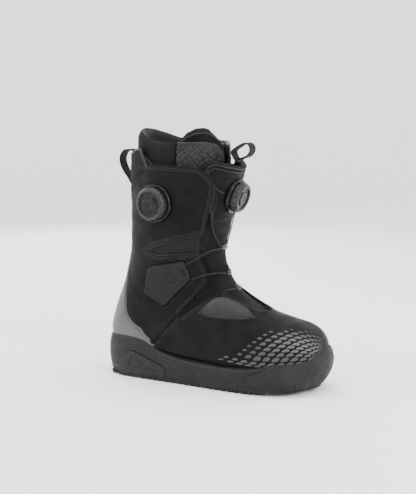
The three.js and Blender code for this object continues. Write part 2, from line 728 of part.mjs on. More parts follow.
function buildTongue() {
  const toeAt = (u, v) => {
    const station = mix(4.7, TONGUE_CREASE - 0.12, u);
    return [station, mix(-1, 1, v) * Math.min(throat(station) + 9, 42)];
  };
  const toe = skin({ at: toeAt, rows: 8, cols: 8, outer: INSIDE, inner: TONGUE_INNER });
  add("tongue_instep", toe, "canvas");

  const clear = 3.4; // degrees that the tilting part stays inside the throat
  // A strip of the tongue between two edges, given as stations at an angle.
  const leaf = (from, to) => (u, v) => {
    const across = mix(-1, 1, v);
    const edge = (rail) => rail(Math.abs(across) * 50);
    const station = mix(edge(from), edge(to), u);
    return [station, across * (throat(station) - clear)];
  };
  const crease = constant(TONGUE_CREASE + 0.12);
  const split = constant(TONGUE_SPLIT);
  const splitAbove = constant(TONGUE_SPLIT + 0.03);
  const rimFoot = (angle) => tongueTop(angle) - RIM_HEIGHT;
  const plateTop = (angle) => rimFoot(angle) - 0.02;
  const layer = { cols: 6, outer: INSIDE, inner: TONGUE_INNER };
  add("tongue_shin", skin({ ...layer, at: leaf(crease, split), rows: 8 }), "canvas");

  const plate = skin({ ...layer, at: leaf(splitAbove, plateTop), rows: 10 });
  const hole = dialHole(frontDialFrame, plugRadius(FRONT_DIAL_RADIUS) + FIT);
  add("tongue_plate", cut(plate, hole), "nubuck");

  const rim = skin({
    at: leaf(rimFoot, tongueTop),
    rows: 2,
    cols: 8,
    outer: INSIDE - 1,
    inner: TONGUE_INNER + 2,
  });
  add("tongue_rim", rim, "webbing");

  for (const [name, side] of SIDES) {
    const wingAt = (u, v) => {
      const station = mix(TONGUE_CREASE + 0.12, 18.1, u);
      const inside = throat(station) - clear + 0.8;
      return [station, side * mix(inside, inside + 17, v)];
    };
    const wing = skin({
      at: wingAt,
      rows: 7,
      cols: 2,
      outer: INSIDE,
      inner: INSIDE + WING,
    });
    add(`tongue_wing_${name}`, wing, "canvas");
  }
}

// ---------------------------------------------------------------- the liner
const SHIN_ROOM = 14; // how far the liner stands back from the top of the tongue

// Depth of the liner's outer face: behind the tongue in front, on the lining at the sides, and on
// the lasting board below.
function linerDepth(station, angle) {
  const turn = foldAngle(angle);
  const { smoothstep } = THREE.MathUtils;
  const besideWing = INSIDE + FIT + (WING + LAYER_GAP) * smoothstep(station, 10, 11);
  const onBoard = INSIDE + BOARD + LAYER_GAP;
  const setBack = SHIN_ROOM * smoothstep(station, 15.8, 19.2);
  const behindTongue = TONGUE_INNER + 2 * LAYER_GAP + setBack;
  const below = smoothstep(turn, 128, 142) * (1 - smoothstep(station, 10.3, 11));
  const front = 1 - smoothstep(turn, 46, 72);
  return mix(mix(besideWing, onBoard, below), behindTongue, front);
}

const LINER_SPLIT = 11.1; // station where the liner's foot meets its shaft

function buildLiner() {
  const stations = rowsFrom(1, LINER_SPLIT - 0.04);
  const foot = skin({
    at: (u, v) => [stations[Math.round(u * (stations.length - 1))], v * 360],
    rows: stations.length - 1,
    cols: 20,
    outer: linerDepth,
    inner: (s, a) => linerDepth(s, a) + LINER_WALL,
    ring: true,
    capped: true,
  });
  add("liner_foot", foot, "liner");

  const collarRim = through([
    [86, 19.5], [114, 19.5], [125, 19.57], [140, 19.72], [160, 19.86], [180, 19.92],
  ]);
  const collarAt = (u, v) => {
    const angle = mix(87, 273, v);
    return [mix(LINER_SPLIT, collarRim(foldAngle(angle)), u), angle];
  };
  const collar = skin({
    at: collarAt,
    rows: 8,
    cols: 12,
    outer: linerDepth,
    inner: (s, a) => linerDepth(s, a) + LINER_WALL + 1,
  });
  add("liner_collar", collar, "liner");

  const wrapRim = through([[12, 19.0], [20, 19.15], [35, 19.45], [57, 19.55], [86, 19.48]]);
  for (const [name, side] of SIDES) {
    const wrapAt = (u, v) => {
      const angle = mix(12, 86, v);
      return [mix(LINER_SPLIT, wrapRim(angle), u), side * angle];
    };
    const wrap = skin({
      at: wrapAt,
      rows: 8,
      cols: 5,
      outer: linerDepth,
      inner: (s, a) => linerDepth(s, a) + LINER_FLAP,
    });
    add(`liner_wrap_${name}`, wrap, "liner");
  }

  const crown = through([[0, 19.85], [20, 19.9], [40, 20.05], [60, 20.15], [80, 20.05]]);
  const tongueAt = (u, v) => {
    const angle = mix(-80, 80, v);
    return [mix(9.3, crown(Math.abs(angle)), u), angle];
  };
  const tongueFace = (s, a) => linerDepth(s, a) + LINER_WALL + 2 * LAYER_GAP;
  const tongue = skin({
    at: tongueAt,
    rows: 9,
    cols: 8,
    outer: tongueFace,
    inner: (s, a) => tongueFace(s, a) + LINER_TONGUE,
  });
  add("liner_tongue", tongue, "liner");

  const bedFace = (s, a) => linerDepth(s, a) + LINER_WALL + LAYER_GAP;
  const bedAt = (u, v) => [mix(2.2, 10.2, u), mix(150, 210, v)];
  const bed = skin({
    at: bedAt,
    rows: 8,
    cols: 4,
    outer: bedFace,
    inner: (s, a) => bedFace(s, a) + FOOTBED,
  });
  add("footbed", bed, "foam");
}

// ---------------------------------------------------------------- the dials
// One dial in its own frame: +Z is the knob's axis, Z = 0 the face of the panel it sits on. The
// base is cut to the panel's curve by the ground solid, given in the dial's frame.
function buildDial(prefix, radius, frame, ground) {
  const dial = new THREE.Group();
  dial.applyMatrix4(frame);
  boot.add(dial);

  const plug = plugRadius(radius);
  const wall = 1.6;
  const well = radius * 0.62; // spool well
  const floor = -2.6;
  const flange = turned([
    [0, -8], [radius + 2, -8], [radius + 3, 1], [radius + 2, DIAL_SEAT], [0, DIAL_SEAT],
  ]);
  const disc = (r, from, to) => turned([[0, from], [r, from], [r, to], [0, to]]);
  const insert = disc(plug, floor - wall, DIAL_SEAT - 0.5);
  const pocket = disc(well, floor, DIAL_SEAT + 1);
  const screwHole = turned([[0, -9], [1.8, -9], [1.8, 9], [0, 9]], 12);
  const base = cut(join(cut(flange, ground), insert), pocket, screwHole);
  add(`${prefix}_dial_base`, base, "dial", dial);

  const spoolTop = DIAL_SEAT + 0.6;
  const spool = turned([
    [4.2, floor + FIT], [well - 0.5, floor + FIT], [well - 0.5, floor + 1.3],
    [well - 3, floor + 2.2], [well - 3, spoolTop - 1.8], [well - 0.5, spoolTop - 0.9],
    [well - 0.5, spoolTop], [4.2, spoolTop],
  ]);
  add(`${prefix}_lace_spool`, spool, "nylon", dial);

  const skirt = radius - 2.2; // inside of the knob's wall
  const teeth = turned([
    [skirt - DIAL_RING, DIAL_SEAT + FIT], [skirt - 0.5, DIAL_SEAT + FIT],
    [skirt - 0.5, DIAL_SEAT + DIAL_PULL], [skirt - DIAL_RING, DIAL_SEAT + DIAL_PULL],
  ]);
  add(`${prefix}_ratchet_ring`, teeth, "nylon", dial);

  const stemTop = DIAL_HEIGHT - 2.4;
  const axle = turned([
    [0, floor + FIT], [1.4, floor + FIT], [1.4, 0.4], [3.6, 0.4], [3.6, stemTop - 1.4],
    [5, stemTop - 1.4], [5, stemTop], [0, stemTop],
  ], 16);
  add(`${prefix}_dial_axle`, axle, "steel", dial);

  const lid = DIAL_HEIGHT - 1.6;
  const underLid = stemTop - 3.4;
  const grip = turned([
    [4.1, underLid], [skirt, underLid], [skirt, DIAL_SEAT + 0.5], [radius, DIAL_SEAT + 0.5],
    [radius - 1, lid - 1], [radius - 3.2, DIAL_HEIGHT - 0.4], [radius - 4.8, DIAL_HEIGHT - 0.4],
    [radius - 5.4, lid - 0.5], [5.8, lid - 0.5], [5.8, stemTop - 1.9], [4.1, stemTop - 1.9],
  ]);
  add(`${prefix}_knob_grip`, grip, "dialRing", dial);

  const cap = turned([
    [0, lid - 0.2], [radius - 5.9, lid - 0.2], [radius - 5.5, DIAL_HEIGHT - 0.6],
    [radius - 7, DIAL_HEIGHT], [0, DIAL_HEIGHT],
  ]);
  add(`${prefix}_knob_cap`, cap, "dial", dial);
}

function buildDials() {
  const sideGround = lastSolid(-2 * FIT, 14, 20, 48).applyMatrix4(sideDialFrame.clone().invert());
  buildDial("side", SIDE_DIAL_RADIUS, sideDialFrame, sideGround);
  const frontGround = lastSolid(INSIDE - 2 * FIT, 14, 20, 48);
  frontGround.applyMatrix4(frontDialFrame.clone().invert());
  buildDial("front", FRONT_DIAL_RADIUS, frontDialFrame, frontGround);
}

// ---------------------------------------------------------------- guides, laces and loops
const GUIDE_TOP = INSIDE - FIT;
const guide = (station, half, halfAngle) =>
  skin({
    at: (u, v) => [mix(station - half, station + half, u), mix(-halfAngle, halfAngle, v)],
    rows: 2,
    cols: 3,
    outer: GUIDE_TOP - 3,
    inner: GUIDE_TOP,
  });

const CUFF_GUIDE = [16.35, 17.85];
const SHIN_GUIDE = 13.5;
const ANKLE_GUIDE = 9.45;
const INSTEP_GUIDE = 7.6;
const GUIDE_ANGLE = 9;

function buildGuides() {
  add("tongue_guide_shin", guide(SHIN_GUIDE, 0.34, GUIDE_ANGLE), "dial");
  add("tongue_guide_ankle", guide(ANKLE_GUIDE, 0.3, GUIDE_ANGLE), "dial");
  add("tongue_guide_instep", guide(INSTEP_GUIDE, 0.25, GUIDE_ANGLE), "dial");
  for (const [name, side] of SIDES) {
    const edge = (from, to) =>
      skin({
        at: (u, v) => {
          const station = mix(from, to, u);
          const front = throat(station);
          return [station, side * mix(front - 2.4, front - 0.4, v)];
        },
        rows: 4,
        cols: 1,
        outer: 0.5,
        inner: PANEL + 0.3,
      });
    add(`cuff_guide_${name}`, edge(...CUFF_GUIDE), "dial");
    add(`instep_guide_${name}`, edge(7.7, 8.15), "dial");
  }
}

// A lace run between two places on the boot; each place is [station, angle, depth].
function lace(name, places) {
  add(name, cord(places.map((place) => last(...place)), LACE_RADIUS), "lace");
}

function buildLaces() {
  const on = GUIDE_TOP - LACE_RADIUS - 0.6; // depth of a lace lying on the tongue
  const side = GUIDE_ANGLE + 1.2;
  const edgeDepth = 1.4;
  for (const [name, way] of SIDES) {
    lace(`lace_cuff_${name}`, [
      [16.5, way * (throat(16.5) - 3.6), edgeDepth],
      [15.3, way * 30, on - 1.4],
      [SHIN_GUIDE + 0.16, way * side, on],
    ]);
    lace(`lace_harness_${name}`, [
      [13.05, way * 58.5, -1.6],
      [13.3, way * 45, -1.6],
      [13.5, way * 30, on - 2.4],
      [SHIN_GUIDE - 0.14, way * side, on],
    ]);
    lace(`lace_dial_${name}`, [
      [17.65, way * (throat(17.65) - 3.6), edgeDepth],
      [17.5, way * 36, on - 2.2],
      [17.35, way * 28.5, on - 2.8],
    ]);
    lace(`lace_ankle_${name}`, [
      [11.2, way * 52.5, -1.6],
      [10.75, way * 41, -2],
      [10.1, way * 26, on - 2.6],
      [ANKLE_GUIDE, way * side, on],
    ]);
    lace(`lace_instep_${name}`, [
      [7.93, way * (throat(7.93) - 4), edgeDepth],
      [7.75, way * 20, on - 1],
      [INSTEP_GUIDE, way * side, on],
    ]);
  }
}

// A webbing loop: a closed band in the boot's middle plane, from [x, z] points on its outside.
function webbingLoop(outline, centreY) {
  const placed = (points) => points.map(([x, z]) => new THREE.Vector2(alongX(x), upZ(z)));
  const shape = new THREE.Shape(placed(outline));
  shape.holes.push(new THREE.Path(placed(shrink(outline, WEBBING))));
  const band = new THREE.ExtrudeGeometry(shape, { depth: WEBBING_WIDTH, bevelEnabled: false });
  return band.rotateX(Math.PI / 2).translate(0, centreY + WEBBING_WIDTH / 2, 0);
}

const REAR_LOOP = [
  [38.6, 287], [32, 291], [24, 290], [18.5, 284], [17.5, 276], [21, 266], [29, 255], [37.8, 247],
];
const FRONT_LOOP = [
  [181, 279], [187, 281], [196, 284], [201, 289], [202, 295], [198.5, 301], [192, 301.5],
  [183, 297], [175.5, 290],
];

function buildLoops() {
  add("rear_pull_loop", webbingLoop(REAR_LOOP, 0), "webbing");
  add("front_pull_loop", webbingLoop(FRONT_LOOP, acrossY(5)), "webbing");
}

// ---------------------------------------------------------------- assembly
buildSole();
buildLining();
buildVamp();
for (const [name, side] of SIDES) buildCuff(name, side);
buildHeelCounter();
buildBackCollar();
buildLastingBoard();
buildTongue();
buildLiner();
buildDials();
buildGuides();
buildLaces();
buildLoops();

// The part's origin is the middle of its footprint, on the ground.
boot.updateMatrixWorld(true);
const bounds = new THREE.Box3().setFromObject(boot, true);
const middle = bounds.getCenter(new THREE.Vector3());
boot.position.set(-middle.x, -middle.y, -bounds.min.z);

export default boot;
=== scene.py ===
"""Looks of a snowboard boot with two lace dials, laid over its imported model. Lengths are millimetres
in the boot's own coordinates until a mesh is made: toe towards +X, medial side +Y, heel at X 0."""

import bpy
import numpy as np
from bpy.props import FloatProperty, FloatVectorProperty, IntProperty, PointerProperty
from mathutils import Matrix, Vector


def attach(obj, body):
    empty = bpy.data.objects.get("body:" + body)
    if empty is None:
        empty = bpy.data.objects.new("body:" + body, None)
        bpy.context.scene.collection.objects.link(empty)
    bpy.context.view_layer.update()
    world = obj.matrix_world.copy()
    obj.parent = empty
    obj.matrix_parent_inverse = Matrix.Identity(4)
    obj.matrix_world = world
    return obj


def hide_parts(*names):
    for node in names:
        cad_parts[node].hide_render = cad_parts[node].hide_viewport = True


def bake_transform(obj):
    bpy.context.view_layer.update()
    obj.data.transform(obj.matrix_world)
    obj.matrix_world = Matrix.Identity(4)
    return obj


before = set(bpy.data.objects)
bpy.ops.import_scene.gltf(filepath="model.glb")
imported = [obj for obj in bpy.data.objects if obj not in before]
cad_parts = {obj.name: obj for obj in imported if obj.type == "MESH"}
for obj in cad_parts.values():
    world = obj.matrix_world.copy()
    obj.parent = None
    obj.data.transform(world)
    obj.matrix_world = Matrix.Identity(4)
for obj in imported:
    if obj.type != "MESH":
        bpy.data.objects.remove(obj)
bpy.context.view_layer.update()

bl_info = {
    "name": "Snowboard boot looks",
    "version": (1, 0, 0),
    "blender": (4, 5, 0),
    "location": "View3D > Sidebar > Boot",
    "description": "Builds the sole, the upper, the liner, the dials and the laces of a snowboard boot",
    "category": "Object",
}

MM = 0.001
ORIGIN = np.array([155.393, -5.477, 0.0])  # the footprint's middle, in the boot's own coordinates
SIDES = (("lateral", -1), ("medial", 1))

PANEL = 2.0  # outer shell panels
INSIDE = 5.8  # depth of the tongue's face below the surface of the last
TONGUE = 4.0
LUG_HEIGHT = 4.8


# ---------------------------------------------------------------- the last
# ridge x, ridge z, base x, base z, half width, centre y, where the section is widest (share from
# ridge to base), roundness of the ridge side, roundness of the base side
STATIONS = np.array([
    [298.6, 62, 298.6, 35, -17.5, 6, 0.66, 2.2, 3.0],
    [301.5, 49, 301.5, 38, 0, 6, 0.66, 2.2, 3.0],
    [298.6, 62, 298.6, 35, 17.5, 6, 0.66, 2.2, 3.0],
    [291, 73, 291, 31, 33, 5.5, 0.67, 2.2, 3.0],
    [278.5, 81.5, 278.5, 28, 43.5, 4.5, 0.68, 2.2, 3.2],
    [257, 88, 257, 25, 50, 2.5, 0.7, 2.15, 3.4],
    [231, 95.5, 231, 23, 52.5, -0.5, 0.7, 2.05, 3.4],
    [208, 108, 198, 22, 51.5, -2, 0.68, 1.95, 3.4],
    [194, 119.5, 160, 22, 48.5, -2.5, 0.66, 1.9, 3.4],
    [184, 130, 118, 23, 46, -2, 0.63, 1.9, 3.3],
    [177.5, 139, 75, 24, 45, -1, 0.6, 1.95, 3.2],
    [173.5, 147.5, 38, 25.5, 44.5, 0, 0.57, 2.0, 3.0],
    [171, 155, 14, 37, 44.5, 0, 0.55, 2.05, 2.7],
    [169.5, 162, 7.5, 60, 45, 0, 0.54, 2.1, 2.5],
    [168.5, 169, 16, 92, 46, 0, 0.53, 2.15, 2.35],
    [169.5, 178, 27.5, 122, 47.5, 0, 0.52, 2.2, 2.25],
    [172, 191, 36, 152, 49.5, 0, 0.51, 2.2, 2.2],
    [177, 210, 38.5, 185, 52, 0, 0.5, 2.2, 2.2],
    [185, 233, 39.5, 220, 54.5, 0, 0.5, 2.2, 2.2],
    [192, 257, 39.5, 255, 56.5, 0, 0.5, 2.2, 2.2],
    [196.5, 284, 40.5, 290, 58, 0, 0.5, 2.2, 2.2],
    [199.5, 312, 41.5, 322, 59, 0, 0.5, 2.2, 2.2],
    [202, 340, 43, 352, 59.5, 0, 0.5, 2.2, 2.2],
    [204, 368, 44, 382, 60, 0, 0.5, 2.2, 2.2],
])
LAST_STATION = len(STATIONS) - 3


def section(station):
    """The station rows at broken station numbers, by a Catmull-Rom spline through the rows."""
    held = np.clip(station, 0, LAST_STATION - 1e-6)
    i = np.floor(held).astype(int)
    f = (held - i)[..., None]
    a, b, c, d = (STATIONS[i + k] for k in range(4))
    bend = 2 * a - 5 * b + 4 * c - d
    twist = 3 * b - a - 3 * c + d
    row = 0.5 * (2 * b + (c - a) * f + bend * f**2 + twist * f**3)
    return np.moveaxis(row, -1, 0)


def last(station, angle, depth=0.0):
    """Points of the last: along the line from ridge to base by the share of a superellipse's cosine,
    and out to the side by its sine, both pulled in by the depth."""
    values = [np.asarray(v, float) for v in (station, angle, depth)]
    station, angle, depth = np.broadcast_arrays(*values)
    rx, rz, bx, bz, half, centre, widest, front, back = section(station)
    length = np.hypot(bx - rx, bz - rz)
    reach = np.minimum(depth, 0.45 * length)
    ix, iz = (bx - rx) / length, (bz - rz) / length
    rx, rz, bx, bz = rx + ix * reach, rz + iz * reach, bx - ix * reach, bz - iz * reach
    toe_share = np.clip((4.5 - station) / 4.5, 0, 1)
    turned = (angle + 180) % 360 - 180
    side = np.where(turned < 0, 1.0, -1.0)
    radians = np.radians(np.abs(turned))
    cosine = np.cos(radians)
    roundness = np.where(cosine >= 0, front, back)
    c = np.abs(cosine) ** (2 / roundness)
    share = np.where(cosine >= 0, widest * (1 - c), widest + (1 - widest) * c)
    width = half - depth * np.clip(half / 20, -1, 1)
    x = rx + (bx - rx) * share - reach * toe_share
    y = centre + side * width * np.abs(np.sin(radians)) ** (2 / roundness)
    return np.stack([x, y, rz + (bz - rz) * share], -1)


def unit(vectors):
    """The vectors at length 1."""
    return vectors / np.maximum(np.linalg.norm(vectors, axis=-1, keepdims=True), 1e-9)


def last_normal(station, angle, depth=0.0):
    """The outward normal: the cross product of the steps up the boot and round it."""
    up = last(station + 0.05, angle, depth) - last(station - 0.05, angle, depth)
    about = last(station, angle + 1.0, depth) - last(station, angle - 1.0, depth)
    return -unit(np.cross(about, up))


def fold(angle):
    """An angle round the boot as 0 to 180 on either side."""
    return np.abs((angle + 180) % 360 - 180)


def knots(*pairs):
    """A value through (at, value) pairs, straight between them and level past the ends."""
    at, value = np.array(pairs, float).T
    return lambda x: np.interp(x, at, value)


def mix(a, b, t):
    """A value from a to b by the share t."""
    return a + (b - a) * t


def step(x, low, high):
    """0 below low, 1 above high, and a smooth cubic between them."""
    t = np.clip((x - low) / (high - low), 0, 1)
    return t * t * (3 - 2 * t)


def spread(count, crowd=0.0):
    """0 to 1 in count steps. crowd draws them towards both ends, by a sine taken off the line."""
    t = np.linspace(0, 1, count + 1)
    return t - crowd * np.sin(2 * np.pi * t) / (2 * np.pi)


def grid(rows, cols, crowd_up=0.0, crowd_across=0.0):
    """Two arrays of shares, up and across, for a surface of rows by cols cells."""
    return np.meshgrid(spread(rows, crowd_up), spread(cols, crowd_across), indexing="ij")


def smooth_path(points, count, closed=False, soft=0):
    """A polyline at even steps along it, then averaged soft times with its neighbours."""
    points = np.asarray(points, float)
    if closed:
        points = np.vstack([points, points[:1]])
    run = np.concatenate([[0], np.cumsum(np.linalg.norm(np.diff(points, axis=0), axis=1))])
    at = np.linspace(0, run[-1], count + 1)
    path = np.stack([np.interp(at, run, column) for column in points.T], 1)
    path = path[:-1] if closed else path
    for _ in range(soft):
        middle = (np.roll(path, 1, 0) + path * 2 + np.roll(path, -1, 0)) / 4
        path = middle if closed else np.vstack([path[:1], middle[1:-1], path[-1:]])
    return path


def curve(points, count, closed=False):
    """A Catmull-Rom spline through points, with count even steps of its own length."""
    points = np.asarray(points, float)
    if closed:
        ring = np.vstack([points[-1:], points, points[:2]])
    else:
        ring = np.vstack([2 * points[:1] - points[1:2], points, 2 * points[-1:] - points[-2:-1]])
    t = np.linspace(0, len(ring) - 3, 60 * (len(ring) - 3) + 1)
    i = np.minimum(t.astype(int), len(ring) - 4)
    f = (t - i)[:, None]
    a, b, c, d = (ring[i + k] for k in range(4))
    bend = 2 * a - 5 * b + 4 * c - d
    fine = 0.5 * (2 * b + (c - a) * f + bend * f**2 + (3 * b - a - 3 * c + d) * f**3)
    fine = fine[:-1] if closed else fine
    return smooth_path(fine, count, closed)


def nearest(points, path):
    """Distance from points to a polyline and the run along it: the foot of the perpendicular on
    each segment, held between its ends, and the least over the segments."""
    shape = points.shape[:-1]
    start, span = path[:-1], np.diff(path, axis=0)
    length = np.maximum(np.linalg.norm(span, axis=1), 1e-9)
    before = np.concatenate([[0], np.cumsum(length)[:-1]])
    found = []
    flat = points.reshape(-1, points.shape[-1])
    for block in np.array_split(flat, max(1, len(flat) // 4000)):
        t = np.clip(np.einsum("pmk,mk->pm", block[:, None] - start, span) / length**2, 0, 1)
        gap = np.linalg.norm(block[:, None] - (start + t[..., None] * span), axis=2)
        k = gap.argmin(1)
        rows = np.arange(len(block))
        found.append(np.stack([gap[rows, k], before[k] + t[rows, k] * length[k]]))
    distance, run = np.concatenate(found, axis=1)
    return distance.reshape(shape), run.reshape(shape)


def within(points, outline):
    """Distance in from a closed plane outline, negative outside it: the sign is the parity of the
    edges that a ray from the point crosses."""
    closed = np.vstack([outline, outline[:1]])
    x, y = points[..., 0], points[..., 1]
    odd = np.zeros(x.shape, bool)
    for (x0, y0), (x1, y1) in zip(closed[:-1], closed[1:]):
        crosses = (y0 > y) != (y1 > y)
        rise = y1 - y0 if y1 != y0 else 1e-9
        odd ^= crosses & (x < (x1 - x0) * (y - y0) / rise + x0)
    return np.where(odd, 1, -1) * nearest(points, closed)[0]


def rounded(outline, radius, steps=6):
    """A closed outline with each corner replaced by the parabola between two points at the radius."""
    corner = np.asarray(outline, float)
    one = unit(np.roll(corner, 1, 0) - corner) * radius + corner
    two = unit(np.roll(corner, -1, 0) - corner) * radius + corner
    t = np.linspace(0, 1, steps)[None, :, None]
    bend = one[:, None] * (1 - t) ** 2 + corner[:, None] * 2 * t * (1 - t) + two[:, None] * t**2
    return bend.reshape(-1, 2)


def on_side(x, z, side, low=8.6, high=19.0):
    """Station and angle of the last's surface at a side-view place: the nearest of a lattice of
    samples, then four Newton steps on the two coordinates."""
    s, a = np.meshgrid(np.linspace(low, high, 60), np.linspace(12, 168, 60), indexing="ij")
    known = last(s, a)[..., [0, 2]].reshape(-1, 2)
    goal = np.stack([np.ravel(x), np.ravel(z)], 1)
    parts = np.array_split(goal, max(1, len(goal) // 2000))
    near = [np.linalg.norm(part[:, None] - known, axis=2).argmin(1) for part in parts]
    pick = np.concatenate(near)
    s, a = s.ravel()[pick], a.ravel()[pick]
    for _ in range(4):
        here = last(s, a)[:, [0, 2]]
        ds = (last(s + 0.02, a)[:, [0, 2]] - here) / 0.02
        da = (last(s, a + 0.5)[:, [0, 2]] - here) / 0.5
        gap = goal - here
        area = ds[:, 0] * da[:, 1] - ds[:, 1] * da[:, 0]
        area = np.where(np.abs(area) < 1e-6, 1e-6, area)
        s = s + np.clip((gap[:, 0] * da[:, 1] - gap[:, 1] * da[:, 0]) / area, -1, 1)
        a = a + np.clip((ds[:, 0] * gap[:, 1] - ds[:, 1] * gap[:, 0]) / area, -20, 20)
    return s.reshape(np.shape(x)), -side * a.reshape(np.shape(x))


# ---------------------------------------------------------------- meshes
def make(name, points, faces, finish, uv=None, uv_faces=None, sharp=40.0, body="shell"):
    """A mesh object from vertices in millimetres and quads. Its faces turn outwards when the signed
    volume, a sixth of the triple products over its triangles, is negative."""
    points = np.asarray(points, float).reshape(-1, 3)
    faces = np.asarray(faces, int)
    a, b, c, d = (points[faces[:, k]] for k in range(4))
    volume = np.einsum("ij,ij->", a, np.cross(b, c)) + np.einsum("ij,ij->", a, np.cross(c, d))
    uv_faces = faces if uv_faces is None else uv_faces
    if volume < 0:
        faces, uv_faces = faces[:, ::-1], uv_faces[:, ::-1]
    mesh = bpy.data.meshes.new(name)
    mesh.from_pydata(((points - ORIGIN) * MM).tolist(), [], faces.tolist())
    if uv is not None:
        layer = mesh.uv_layers.new(name="cloth")
        layer.data.foreach_set("uv", np.asarray(uv, float).reshape(-1, 2)[uv_faces].ravel())
    mesh.shade_smooth()
    mesh.set_sharp_from_angle(angle=np.radians(sharp))
    mesh.materials.append(finish)
    piece = bpy.data.objects.new(name, mesh)
    bpy.context.scene.collection.objects.link(piece)
    if body:
        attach(piece, body)
    return piece


def set_tone(piece, values):
    """Per-vertex tone, from dark at 0 to bright at 1, for the finishes that read it: the painted
    highlight and painted shade of the scales, the ribbed film and the liner's wraps.
    """
    layer = piece.data.attributes.new("tone", "FLOAT", "POINT")
    layer.data.foreach_set("value", np.asarray(values, np.float32))


def cells(rows, cols, corner):
    """Quads of a rows by cols surface, from the function that numbers its corners."""
    i, j = np.meshgrid(np.arange(rows), np.arange(cols), indexing="ij")
    quads = [corner(i, j), corner(i, j + 1), corner(i + 1, j + 1), corner(i + 1, j)]
    return np.stack(quads, -1).reshape(-1, 4)


def surface(name, points, finish, ring=True, uv=None, **options):
    """A closed surface from rows of points, each row a ring unless ring is False."""
    rows, width = points.shape[0] - 1, points.shape[1]
    cols = width if ring else width - 1
    faces = cells(rows, cols, lambda i, j: i * width + j % width)
    uv_faces = cells(rows, cols, lambda i, j: i * (cols + 1) + j)
    return make(name, points, faces, finish, uv, uv_faces, **options)


def shell(name, outer, inner, finish, ring=False, uv=None, keep=None, **options):
    """A closed wall between two grids of points. keep says which cells exist, and a strip joins the
    two faces along each edge of a cell whose neighbour doesn't."""
    rows, width = outer.shape[0] - 1, outer.shape[1]
    cols = width if ring else width - 1
    total = (rows + 1) * width
    keep = np.ones((rows, cols), bool) if keep is None else keep
    around = np.pad(keep, 1)
    if ring:
        around[:, 0], around[:, -1] = around[:, -2], around[:, 1]
    i, j = np.nonzero(keep)

    def strips(front, back):
        """Quads of both faces and of the walls along every free edge."""
        corners = ((0, 0), (0, 1), (1, 1), (1, 0))
        found = [np.stack([front(i + di, j + dj) for di, dj in corners], -1)]
        found.append(np.stack([back(i + di, j + dj) for di, dj in corners[::-1]], -1))
        for k, (di, dj) in enumerate(((-1, 0), (0, 1), (1, 0), (0, -1))):
            free = ~around[i + 1 + di, j + 1 + dj]
            (ai, aj), (bi, bj) = corners[k], corners[(k + 1) % 4]
            a, b = (i[free] + ai, j[free] + aj), (i[free] + bi, j[free] + bj)
            found.append(np.stack([front(*b), front(*a), back(*a), back(*b)], -1))
        return np.concatenate(found)

    faces = strips(lambda i, j: i * width + j % width, lambda i, j: total + i * width + j % width)
    flat = lambda i, j: i * (cols + 1) + j
    points = np.concatenate([outer.reshape(-1, 3), inner.reshape(-1, 3)])
    used, numbers = np.unique(faces, return_inverse=True)
    numbers = numbers.reshape(faces.shape)
    return make(name, points[used], numbers, finish, uv, strips(flat, flat), **options)


def lengths(points):
    """Cloth coordinates of a grid of points in millimetres: the run across each row from its middle,
    and the mean run up the columns."""
    across = np.linalg.norm(np.diff(points, axis=1), axis=2).cumsum(1)
    across = np.pad(across, ((0, 0), (1, 0)))
    across = across - across[:, points.shape[1] // 2][:, None]
    up = np.linalg.norm(np.diff(points, axis=0), axis=2).mean(1).cumsum()
    up = np.pad(up, (1, 0))[:, None] + 0 * across
    return np.stack([across, up], -1)


def cut_edge(gap, radius, drop=None):
    """How much deeper a piece lies near its cut edge, which is a quarter circle of that radius, or
    the same curve with another drop."""
    t = np.clip(1 - gap / radius, 0, 1)
    return (radius if drop is None else drop) * (1 - np.sqrt(1 - t**2 * 0.999))


def ring_lengths(points):
    """The same for closed rows, with the first column once more at the end."""
    return lengths(np.concatenate([points, points[:, :1]], axis=1))


def frames(path, normal):
    """Unit vectors along a path, sideways and out of the surface it lies on."""
    along = unit(np.gradient(path, axis=0))
    sideways = unit(np.cross(normal, along))
    return along, sideways, np.cross(along, sideways)


def sweep(name, path, sideways, out, profile, finish, closed=False, **options):
    """A profile of (sideways, out) offsets carried along a path. An open one has closed ends."""
    offset = profile[None, :, 0, None] * sideways[:, None] + profile[None, :, 1, None] * out[:, None]
    rings = path[:, None] + offset
    if closed:
        rings = np.vstack([rings, rings[:1]])
    else:
        first, final = (np.repeat(path[k][None, None], len(profile), 1) for k in (0, -1))
        rings = np.vstack([first, rings, final])
    return surface(name, rings, finish, uv=ring_lengths(rings), **options)


def trim(name, station, angle, depth, profile, finish, **options):
    """A profile carried along places of the last, its second axis out of the surface."""
    rail = last(station, angle, depth)
    _, sideways, out = frames(rail, last_normal(station, angle))
    return sweep(name, rail, sideways, out, profile, finish, **options)


def circle(radius, sides=10, flat=1.0):
    """A round profile, flattened outwards by flat."""
    turn = np.arange(sides) / sides * 2 * np.pi
    return np.stack([radius * np.cos(turn), flat * radius * np.sin(turn)], 1)


def copies(points, faces, origins, axes):
    """One shape set at many places: origin plus the shape's coordinates along three axes each."""
    placed = origins[:, None] + np.einsum("nk,mkc->mnc", points, axes)
    numbers = faces[None] + np.arange(len(origins))[:, None, None] * len(points)
    return placed.reshape(-1, 3), numbers.reshape(-1, 4)


def stitch_shape(length, width, rise):
    """One stitch: rings of six points whose size follows half an ellipse along its length."""
    t = np.linspace(-1, 1, 5)
    size = np.sqrt(np.maximum(1 - t**2, 0.0))
    turn = np.arange(6) / 6 * 2 * np.pi
    x = np.repeat(t[:, None] * length / 2, 6, 1)
    y = size[:, None] * width / 2 * np.cos(turn)
    z = size[:, None] * rise * np.sin(turn)
    points = np.stack([x, y, z], -1).reshape(-1, 3)
    return points, cells(4, 6, lambda i, j: i * 6 + j % 6)


